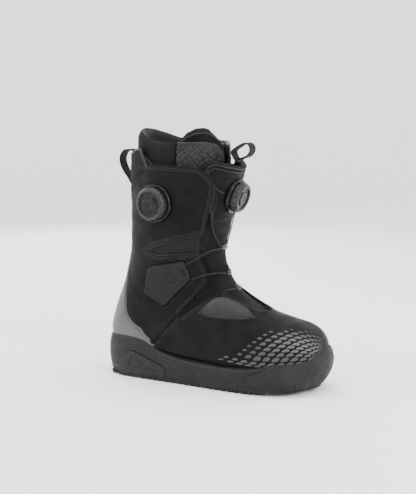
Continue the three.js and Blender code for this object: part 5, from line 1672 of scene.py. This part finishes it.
def build_dial(prefix, radius, place, base_body):
    """One lace dial: the flanged base, the ring with shallow finger lobes, and the cap with a
    six-sided raised face."""
    look = bpy.context.scene.boot_sizes
    well, plug = radius * WELL_SHARE, radius * PLUG_SHARE
    base = profile_line([
        (well, -2.6), (0.01, -2.6), (0.01, -4.2), (plug, -4.2), (plug, -1.5), (radius + 3.2, -1.6),
        (radius + 3.0, 0.9), (radius + 1.8, DIAL_SEAT), (radius - 1.2, DIAL_SEAT + 0.1),
        (radius - 2.2, DIAL_SEAT - 0.5), (well, DIAL_SEAT - 0.5), (well, -2.6),
    ], 0.5)
    piece = turned(f"{prefix}_dial_seat", base, place, finish("gloss"), base_body)
    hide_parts(f"{prefix}_dial_base")

    lobes = look.knob_lobes

    def lobe(r, h, turn):
        """Shallow finger hollows round the outside of the ring."""
        outside = step(r, radius - 2.6, radius - 0.8) * step(h, DIAL_SEAT + 0.8, DIAL_SEAT + 2.5)
        return 1 - 0.028 * outside * (0.5 - 0.5 * np.cos(lobes * turn)) ** 2

    lid = DIAL_HEIGHT - 1.6
    ring = profile_line([
        (radius - 5.0, lid - 2.6), (radius - 2.2, lid - 2.6), (radius - 2.2, DIAL_SEAT + 0.5),
        (radius - 0.5, DIAL_SEAT + 0.5), (radius, DIAL_SEAT + 1.4), (radius - 0.1, lid - 2.2),
        (radius - 0.9, lid - 0.6), (radius - 2.4, DIAL_HEIGHT - 0.1), (radius - 4.2, DIAL_HEIGHT + 0.2),
        (radius - 5.6, DIAL_HEIGHT - 0.6), (radius - 6.0, lid - 0.6), (radius - 5.0, lid - 2.6),
    ], 0.6)
    ring = np.vstack([smooth_path(ring, 90), ring[-1:]])
    piece = turned(f"{prefix}_knob_ring", ring, place, finish("grip"), f"{prefix}_knob",
                   segments=216, radius_wave=lobe)
    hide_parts(f"{prefix}_knob_grip")

    face = radius - 5.7
    share = np.concatenate([np.linspace(0.004, 1, FACE_ROWS), [1.0, 0.004]])
    level = np.concatenate([np.full(FACE_ROWS, lid - 0.4), [lid - 2.2, lid - 2.2]])

    def facets(r, turn):
        """Raised where the six-sided radius is small, dished towards the middle, with a low
        six-sided ring in the dish."""
        side = 2 * np.pi / 6
        six = r * np.cos(np.mod(turn, side) - side / 2) / np.cos(side / 2)
        top = 1.5 * (1 - step(six, face * 0.62, face * 0.76)) - 0.35 * (1 - step(six, 0, face * 0.6))
        mark = step(six, face * 0.26, face * 0.3) - step(six, face * 0.36, face * 0.4)
        return (top + 0.35 * mark) * (np.arange(FACE_ROWS + 2)[:, None] < FACE_ROWS)

    cap = np.stack([share * face, level], 1)
    piece = turned(f"{prefix}_knob_face", cap, place, finish("gloss"), f"{prefix}_knob",
                   height_wave=facets)
    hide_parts(f"{prefix}_knob_cap")


# ---------------------------------------------------------------- guides, laces and loops
GUIDE_TOP = INSIDE - 0.3
SHIN_GUIDE, ANKLE_GUIDE, INSTEP_GUIDE = 13.5, 9.45, 7.6
GUIDE_ANGLE = 9.0


def build_guides():
    """Lace guides: three rounded bridges on the tongue and webbed tabs at the panels' edges."""
    for name, station, half, body in (
        ("shin", SHIN_GUIDE, 0.34, "tongue"), ("ankle", ANKLE_GUIDE, 0.3, "shell"),
        ("instep", INSTEP_GUIDE, 0.25, "shell"),
    ):
        up, across = grid(22, 44)
        a, s = (2 * across - 1), (2 * up - 1)
        dome = np.clip(1 - np.abs(s) ** 4, 0, 1) ** 0.5 * np.clip(1 - np.abs(a) ** 8, 0, 1) ** 0.5
        channel = 0.5 * np.exp(-((s / 0.3) ** 2))
        depth = GUIDE_TOP - 0.4 - (2.6 - channel) * dome
        places = station + half * s, (GUIDE_ANGLE + 0.6) * a
        bridge = shell(f"guide_bridge_{name}", last(*places, depth), last(*places, 0 * s + GUIDE_TOP + 0.4),
                       finish("gloss"), body=body)
        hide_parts(f"tongue_guide_{name}")
    for name, side in SIDES:
        for kind, low, high in (("cuff", 16.35, 17.85), ("instep", 7.7, 8.15)):
            up, across = grid(40, 10)
            station = mix(low, high, up)
            front = throat(station)
            turned_angle = -side * mix(front - 2.4, front + 0.4, across)
            dome = np.clip(1 - np.abs(2 * up - 1) ** 10, 0, 1) ** 0.5
            depth = 1.4 - 0.8 * dome * np.sin(np.pi * np.clip(across * 0.8 + 0.1, 0, 1))
            tab = shell(f"guide_tab_{kind}_{name}", last(station, turned_angle, depth),
                        last(station, turned_angle, 0 * up + 2.2), finish("gloss"))
            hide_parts(f"{kind}_guide_{name}")


def lace_routes(name, way):
    """The places each lace run goes through, as (station, angle, depth)."""
    on = GUIDE_TOP - 1.4
    side = GUIDE_ANGLE + 1.2
    return {
        "cuff": [(16.5, way * (float(throat(16.5)) - 3.6), 1.4), (15.3, way * 30, on - 1.4),
                 (SHIN_GUIDE + 0.16, way * side, on)],
        "harness": [(13.05, way * 58.5, -1.6), (13.3, way * 45, -1.6), (13.5, way * 30, on - 2.4),
                    (SHIN_GUIDE - 0.14, way * side, on)],
        "dial": [(17.65, way * (float(throat(17.65)) - 3.6), 1.4), (17.5, way * 36, on - 2.2),
                 (17.35, way * 28.5, on - 2.8)],
        "ankle": [(11.2, way * 52.5, -1.6), (10.75, way * 41, -2), (10.1, way * 26, on - 2.6),
                  (ANKLE_GUIDE, way * side, on)],
        "instep": [(7.93, way * (float(throat(7.93)) - 4), 1.4), (7.75, way * 20, on - 1),
                   (INSTEP_GUIDE, way * side, on)],
    }[name]


def build_laces():
    """The visible lace runs: round wires along their routes; those that reach the tongue belong to no body."""
    radius = bpy.context.scene.boot_sizes.lace_radius / MM
    for side_name, side in SIDES:
        for name in ("cuff", "harness", "dial", "ankle", "instep"):
            places = np.array(lace_routes(name, -side), float)
            path = curve(last(*places.T), 48)
            normal = last_normal(*np.broadcast_arrays(*places.mean(0)))
            _, sideways, out = frames(path, np.broadcast_to(normal, path.shape))
            bends = name in ("cuff", "harness", "dial")
            wire = sweep(f"wire_{name}_{side_name}", path, sideways, out, circle(radius, 10),
                         finish("lace"), sharp=180, body=None if bends else "shell")
            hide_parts(f"lace_{name}_{side_name}")
            if bends:
                first, final = ((path[k] - ORIGIN) * MM for k in (3, -4))
                tuple(first)
                tuple(final)
                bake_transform(wire)


REAR_LOOP = [(38.2, 286), (32, 290.2), (24.5, 289.4), (19.4, 283.6), (18.3, 276), (21.8, 266.2),
             (29.6, 255.6), (37.4, 247.8)]
FRONT_LOOP = [(181.5, 279.6), (187, 281.9), (195.6, 284.9), (200.2, 289.5), (201.2, 295), (198, 300),
              (192, 300.6), (183.2, 296.2), (176.4, 290)]


def build_loops():
    """The two webbing pull loops, each a flat tape bent round and sewn to itself, with a bar of
    stitching at its foot."""
    for name, outline, y, body in (("rear", REAR_LOOP, 0.0, "shell"), ("front", FRONT_LOOP, 5.0, "tongue")):
        line = curve(outline, 110, closed=True)
        path = np.stack([line[:, 0], y + 0 * line[:, 0], line[:, 1]], 1)
        along = unit(np.roll(path, -1, 0) - np.roll(path, 1, 0))
        across = np.broadcast_to([0, 1.0, 0], path.shape)
        out = np.cross(across, along)
        tape = sweep(f"{name}_loop_tape", path, across, out, strap_profile(17, 1.6), finish("webbing"),
                     closed=True, body=body, sharp=60)
        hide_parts(f"{name}_pull_loop")
        shape, faces = stitch_shape(2.6, 0.8, 0.5)
        rows = []
        for k in (4, 8) if name == "rear" else (2, 6):
            for direction in (1, -1):
                at = np.arange(-6.6, 6.7, 2.2)[:, None]
                rows.append(path[k] + across[:1] * at + out[k] * 0.85 * direction)
        origins = np.vstack(rows)
        axes = np.tile(np.stack([across[0], along[4], out[4]])[None], (len(origins), 1, 1))
        points, numbers = copies(shape, faces, origins, axes)
        bar = make(f"{name}_loop_stitches", points, numbers, finish("thread"), sharp=180, body=body)


def dress(node, name):
    """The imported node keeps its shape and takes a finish."""
    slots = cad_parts[node].material_slots
    if not len(slots):
        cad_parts[node].data.materials.append(finish(name))
    for one in slots:
        one.material = finish(name)


# ---------------------------------------------------------------- the stage
LENS = 81.62  # focal length in millimetres on the sensor below
SENSOR = 36.0
TARGET = np.array([150.0, 0.0, 150.0])
AZIMUTH = 27.0
DISTANCE = 1400.0
EYE_HEIGHT = 350.0
SHIFT = (-0.0112, 0.032)  # of the view, as shares of its longer side
LIT_PLACE = (0.0, 0.0, 0.15)
LIGHTS = (  # name, place in metres, size in metres, power in watts
    ("top_soft", (0.1, -0.1, 1.6), (1.4, 1.4), 22),
    ("left_soft", (-1.35, -0.75, 0.75), (0.9, 1.3), 15),
    ("right_soft", (1.3, -0.75, 0.8), (0.7, 1.2), 13),
    ("back_left", (-1.0, 1.15, 0.9), (0.9, 1.2), 16),
    ("back_right", (1.2, 1.0, 0.9), (0.9, 1.2), 14),
)
SKY_STRENGTH = 1.6
FLOOR_RADIUS = 1900
BACKDROP = 900  # radius of the floor's curve up


def build_stage():
    """A pale round floor that curves up into its own backdrop, soft lights and the camera."""
    run = np.linspace(0, 1, 60)
    bend = BACKDROP * np.sin(run * np.pi / 2)
    radius = np.concatenate([[1e-3], FLOOR_RADIUS * run[1:40] / run[39], FLOOR_RADIUS + bend])
    height = np.concatenate([np.zeros(40), BACKDROP * (1 - np.cos(run * np.pi / 2))])
    radius = np.append(radius, 2805.0)
    height = np.append(height, 2600.0)
    turn = np.arange(96) / 96 * 2 * np.pi
    points = np.stack([radius[:, None] * np.cos(turn), radius[:, None] * np.sin(turn),
                       height[:, None] + 0 * turn - 0.02], -1) + ORIGIN
    look = Shader("studio_floor", (0.95, 0.95, 0.95, 1.0), 0.9, {"Specular IOR Level": 0.0})
    floor = surface("studio_floor", points, look.material, body=None)
    floor.data.flip_normals()

    for name, place, size, power in LIGHTS:
        light = bpy.data.lights.new(name, "AREA")
        light.shape = "RECTANGLE"
        light.size, light.size_y = size
        light.energy = power
        lamp = bpy.data.objects.new(name, light)
        bpy.context.scene.collection.objects.link(lamp)
        turn_to(lamp, np.array(place), np.array(LIT_PLACE))
    world = bpy.data.worlds.new("studio")
    world.use_nodes = True
    world.node_tree.nodes["Background"].inputs["Color"].default_value = (1, 1, 1, 1)
    world.node_tree.nodes["Background"].inputs["Strength"].default_value = SKY_STRENGTH
    bpy.context.scene.world = world

    camera = bpy.data.cameras.new("camera")
    camera.sensor_width = SENSOR
    camera.lens = LENS
    camera.shift_x, camera.shift_y = SHIFT
    camera.clip_start, camera.clip_end = 0.02, 20
    rig = bpy.data.objects.new("camera", camera)
    bpy.context.scene.collection.objects.link(rig)
    turn = np.radians(AZIMUTH)
    eye = TARGET + np.array([np.sin(turn), -np.cos(turn), 0]) * DISTANCE
    eye[2] = EYE_HEIGHT
    turn_to(rig, (eye - ORIGIN) * MM, (TARGET - ORIGIN) * MM)
    bpy.context.scene.camera = rig


def turn_to(thing, place, aim):
    """Sets an object at a place with its -Z axis towards an aim and its Y axis upwards."""
    thing.location = place
    thing.rotation_euler = Vector(aim - place).to_track_quat("-Z", "Y").to_euler()


# ---------------------------------------------------------------- sizes and colours
class BootSizes(bpy.types.PropertyGroup):
    stitch_pitch: FloatProperty(name="Stitch pitch", description="From one stitch to the next",
                                default=0.0026, min=0.001, max=0.01, subtype="DISTANCE", unit="LENGTH")
    stitch_width: FloatProperty(name="Stitch width", description="Thickness of the sewing thread",
                                default=0.0008, min=0.0003, max=0.002, subtype="DISTANCE", unit="LENGTH")
    rib_pitch: FloatProperty(name="Rib pitch", description="From one rib of the foam to the next",
                             default=0.0028, min=0.001, max=0.01, subtype="DISTANCE", unit="LENGTH")
    rib_height: FloatProperty(name="Rib height", description="How far the foam's ribs stand out",
                              default=0.0008, min=0.0, max=0.003, subtype="DISTANCE", unit="LENGTH")
    scale_length: FloatProperty(name="Scale length", description="From one printed scale to the next",
                                default=0.0112, min=0.004, max=0.02, subtype="DISTANCE", unit="LENGTH")
    lace_radius: FloatProperty(name="Lace radius", description="Half the thickness of the lace wire",
                               default=0.0008, min=0.0004, max=0.002, subtype="DISTANCE", unit="LENGTH")
    knob_lobes: IntProperty(name="Knob lobes", description="Finger lobes round a dial's ring",
                            default=24, min=6, max=48)


def colour(name, value, what):
    """A colour property with its name, its linear value and what it colours."""
    return FloatVectorProperty(name=name, description=what, default=(*value, 1.0), size=4,
                               min=0.0, max=1.0, subtype="COLOR")


class BootColours(bpy.types.PropertyGroup):
    nubuck: colour("Nubuck", (0.0026, 0.0026, 0.0028), "Colour of the shell panels")
    counter: colour("Counter", (0.066, 0.060, 0.060), "Colour of the heel counter's film")
    scales: colour("Scales", (0.12, 0.12, 0.12), "Colour of the brightest printed scales")
    ribs: colour("Ribs", (0.062, 0.062, 0.063), "Colour of the ribbed film")
    foam: colour("Foam", (0.0095, 0.0095, 0.01), "Colour of the midsole")
    rubber: colour("Rubber", (0.011, 0.011, 0.0115), "Colour of the tread and its wraps")
    mesh: colour("Mesh", (0.012, 0.013, 0.014), "Colour of the vents and gussets")
    canvas: colour("Canvas", (0.007, 0.007, 0.006), "Colour of the tongue's canvas")
    webbing: colour("Webbing", (0.007, 0.007, 0.0075), "Colour of the pull loops")
    liner: colour("Liner", (0.0085, 0.0074, 0.0074), "Colour of the liner's knit")
    emboss: colour("Embossed film", (0.016, 0.0165, 0.017), "Colour of the liner's wraps")
    plate: colour("Plate", (0.0058, 0.006, 0.0062), "Colour of the ankle plates")
    dial: colour("Dial", (0.002, 0.002, 0.0022), "Colour of the dials' bases and faces")
    ring: colour("Ring", (0.012, 0.012, 0.0125), "Colour of the dials' rings")
    lace: colour("Lace", (0.03, 0.031, 0.032), "Colour of the laces")
    thread: colour("Thread", (0.026, 0.026, 0.027), "Colour of the stitching")
    binding: colour("Binding", (0.009, 0.009, 0.0095), "Colour of bound and cut edges")


# ---------------------------------------------------------------- operators
class Build:
    """Shared by the operators: each runs its own build steps in order."""
    bl_options = {"REGISTER"}

    def execute(self, context):
        """Runs the steps in order."""
        for build in self.steps:
            build()
        return {"FINISHED"}


def both(build):
    """A build step done for each side of the boot."""
    return lambda: [build(name, side) for name, side in SIDES]


class BOOT_OT_stage(Build, bpy.types.Operator):
    """Adds the camera, the floor and the lights"""
    bl_idname = "boot.stage"
    bl_label = "Stage"
    steps = [build_stage]


class BOOT_OT_sole(Build, bpy.types.Operator):
    """Adds the ribbed midsole, the rubber on its wall and the lugged tread"""
    bl_idname = "boot.sole"
    bl_label = "Sole"
    steps = [build_foam, build_rubber]


class BOOT_OT_vamp(Build, bpy.types.Operator):
    """Adds the vamp with its ribbed film and printed scales"""
    bl_idname = "boot.vamp"
    bl_label = "Vamp"
    steps = [build_vamp]


class BOOT_OT_cuffs(Build, bpy.types.Operator):
    """Adds the cuff panels with their vents, gussets and ankle plates"""
    bl_idname = "boot.cuffs"
    bl_label = "Cuff panels"
    steps = [both(build_cuff)]


class BOOT_OT_heel(Build, bpy.types.Operator):
    """Adds the heel counter and the back collar"""
    bl_idname = "boot.heel"
    bl_label = "Heel counter and collar"
    steps = [build_counter, build_collar]


class BOOT_OT_tongue(Build, bpy.types.Operator):
    """Adds the outer tongue, its padded rim and its wings"""
    bl_idname = "boot.tongue"
    bl_label = "Outer tongue"
    steps = [build_tongue]


class BOOT_OT_liner(Build, bpy.types.Operator):
    """Adds the padded liner and the footbed"""
    bl_idname = "boot.liner"
    bl_label = "Liner"
    steps = [build_liner]


class BOOT_OT_dials(Build, bpy.types.Operator):
    """Adds the two lace dials"""
    bl_idname = "boot.dials"
    bl_label = "Lace dials"
    steps = [
        lambda: build_dial("side", 21.5, SIDE_DIAL_AT, "shell"),
        lambda: build_dial("front", 19.5, FRONT_DIAL_AT, "tongue"),
    ]


class BOOT_OT_laces(Build, bpy.types.Operator):
    """Adds the lace guides, the laces and the pull loops"""
    bl_idname = "boot.laces"
    bl_label = "Guides, laces and loops"
    steps = [build_guides, build_laces, build_loops]


HIDDEN_PARTS = {
    "upper_lining": "lining", "lasting_board": "board", "shank": "steel",
    "side_lace_spool": "nylon", "front_lace_spool": "nylon",
    "side_ratchet_ring": "nylon", "front_ratchet_ring": "nylon",
    "side_dial_axle": "steel", "front_dial_axle": "steel",
}


class BOOT_OT_inner_parts(Build, bpy.types.Operator):
    """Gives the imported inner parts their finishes"""
    bl_idname = "boot.inner_parts"
    bl_label = "Inner parts"
    steps = [lambda: [dress(node, name) for node, name in HIDDEN_PARTS.items()]]


OPERATORS = (
    BOOT_OT_stage, BOOT_OT_sole, BOOT_OT_vamp, BOOT_OT_cuffs, BOOT_OT_heel, BOOT_OT_tongue,
    BOOT_OT_liner, BOOT_OT_dials, BOOT_OT_laces, BOOT_OT_inner_parts,
)


class BOOT_PT_looks(bpy.types.Panel):
    """Sizes, colours and the pieces that can be built"""
    bl_idname = "BOOT_PT_looks"
    bl_label = "Snowboard boot"
    bl_space_type = "VIEW_3D"
    bl_region_type = "UI"
    bl_category = "Boot"

    def draw(self, context):
        """Every size and colour, then a button for each operator."""
        for group in (context.scene.boot_sizes, context.scene.boot_colours):
            for name in group.__annotations__:
                self.layout.prop(group, name)
        for operator in OPERATORS:
            self.layout.operator(operator.bl_idname)


CLASSES = (BootSizes, BootColours, *OPERATORS, BOOT_PT_looks)


def register():
    """Adds the classes and the scene's sizes and colours."""
    for one in CLASSES:
        bpy.utils.register_class(one)
    bpy.types.Scene.boot_sizes = PointerProperty(type=BootSizes)
    bpy.types.Scene.boot_colours = PointerProperty(type=BootColours)


def unregister():
    """Takes them away again."""
    del bpy.types.Scene.boot_sizes
    del bpy.types.Scene.boot_colours
    for one in reversed(CLASSES):
        bpy.utils.unregister_class(one)


def main():
    """Builds everything in order."""
    register()
    for operator in OPERATORS:
        group, name = operator.bl_idname.split(".")
        getattr(getattr(bpy.ops, group), name)()


if __name__ == "__main__":
    main()
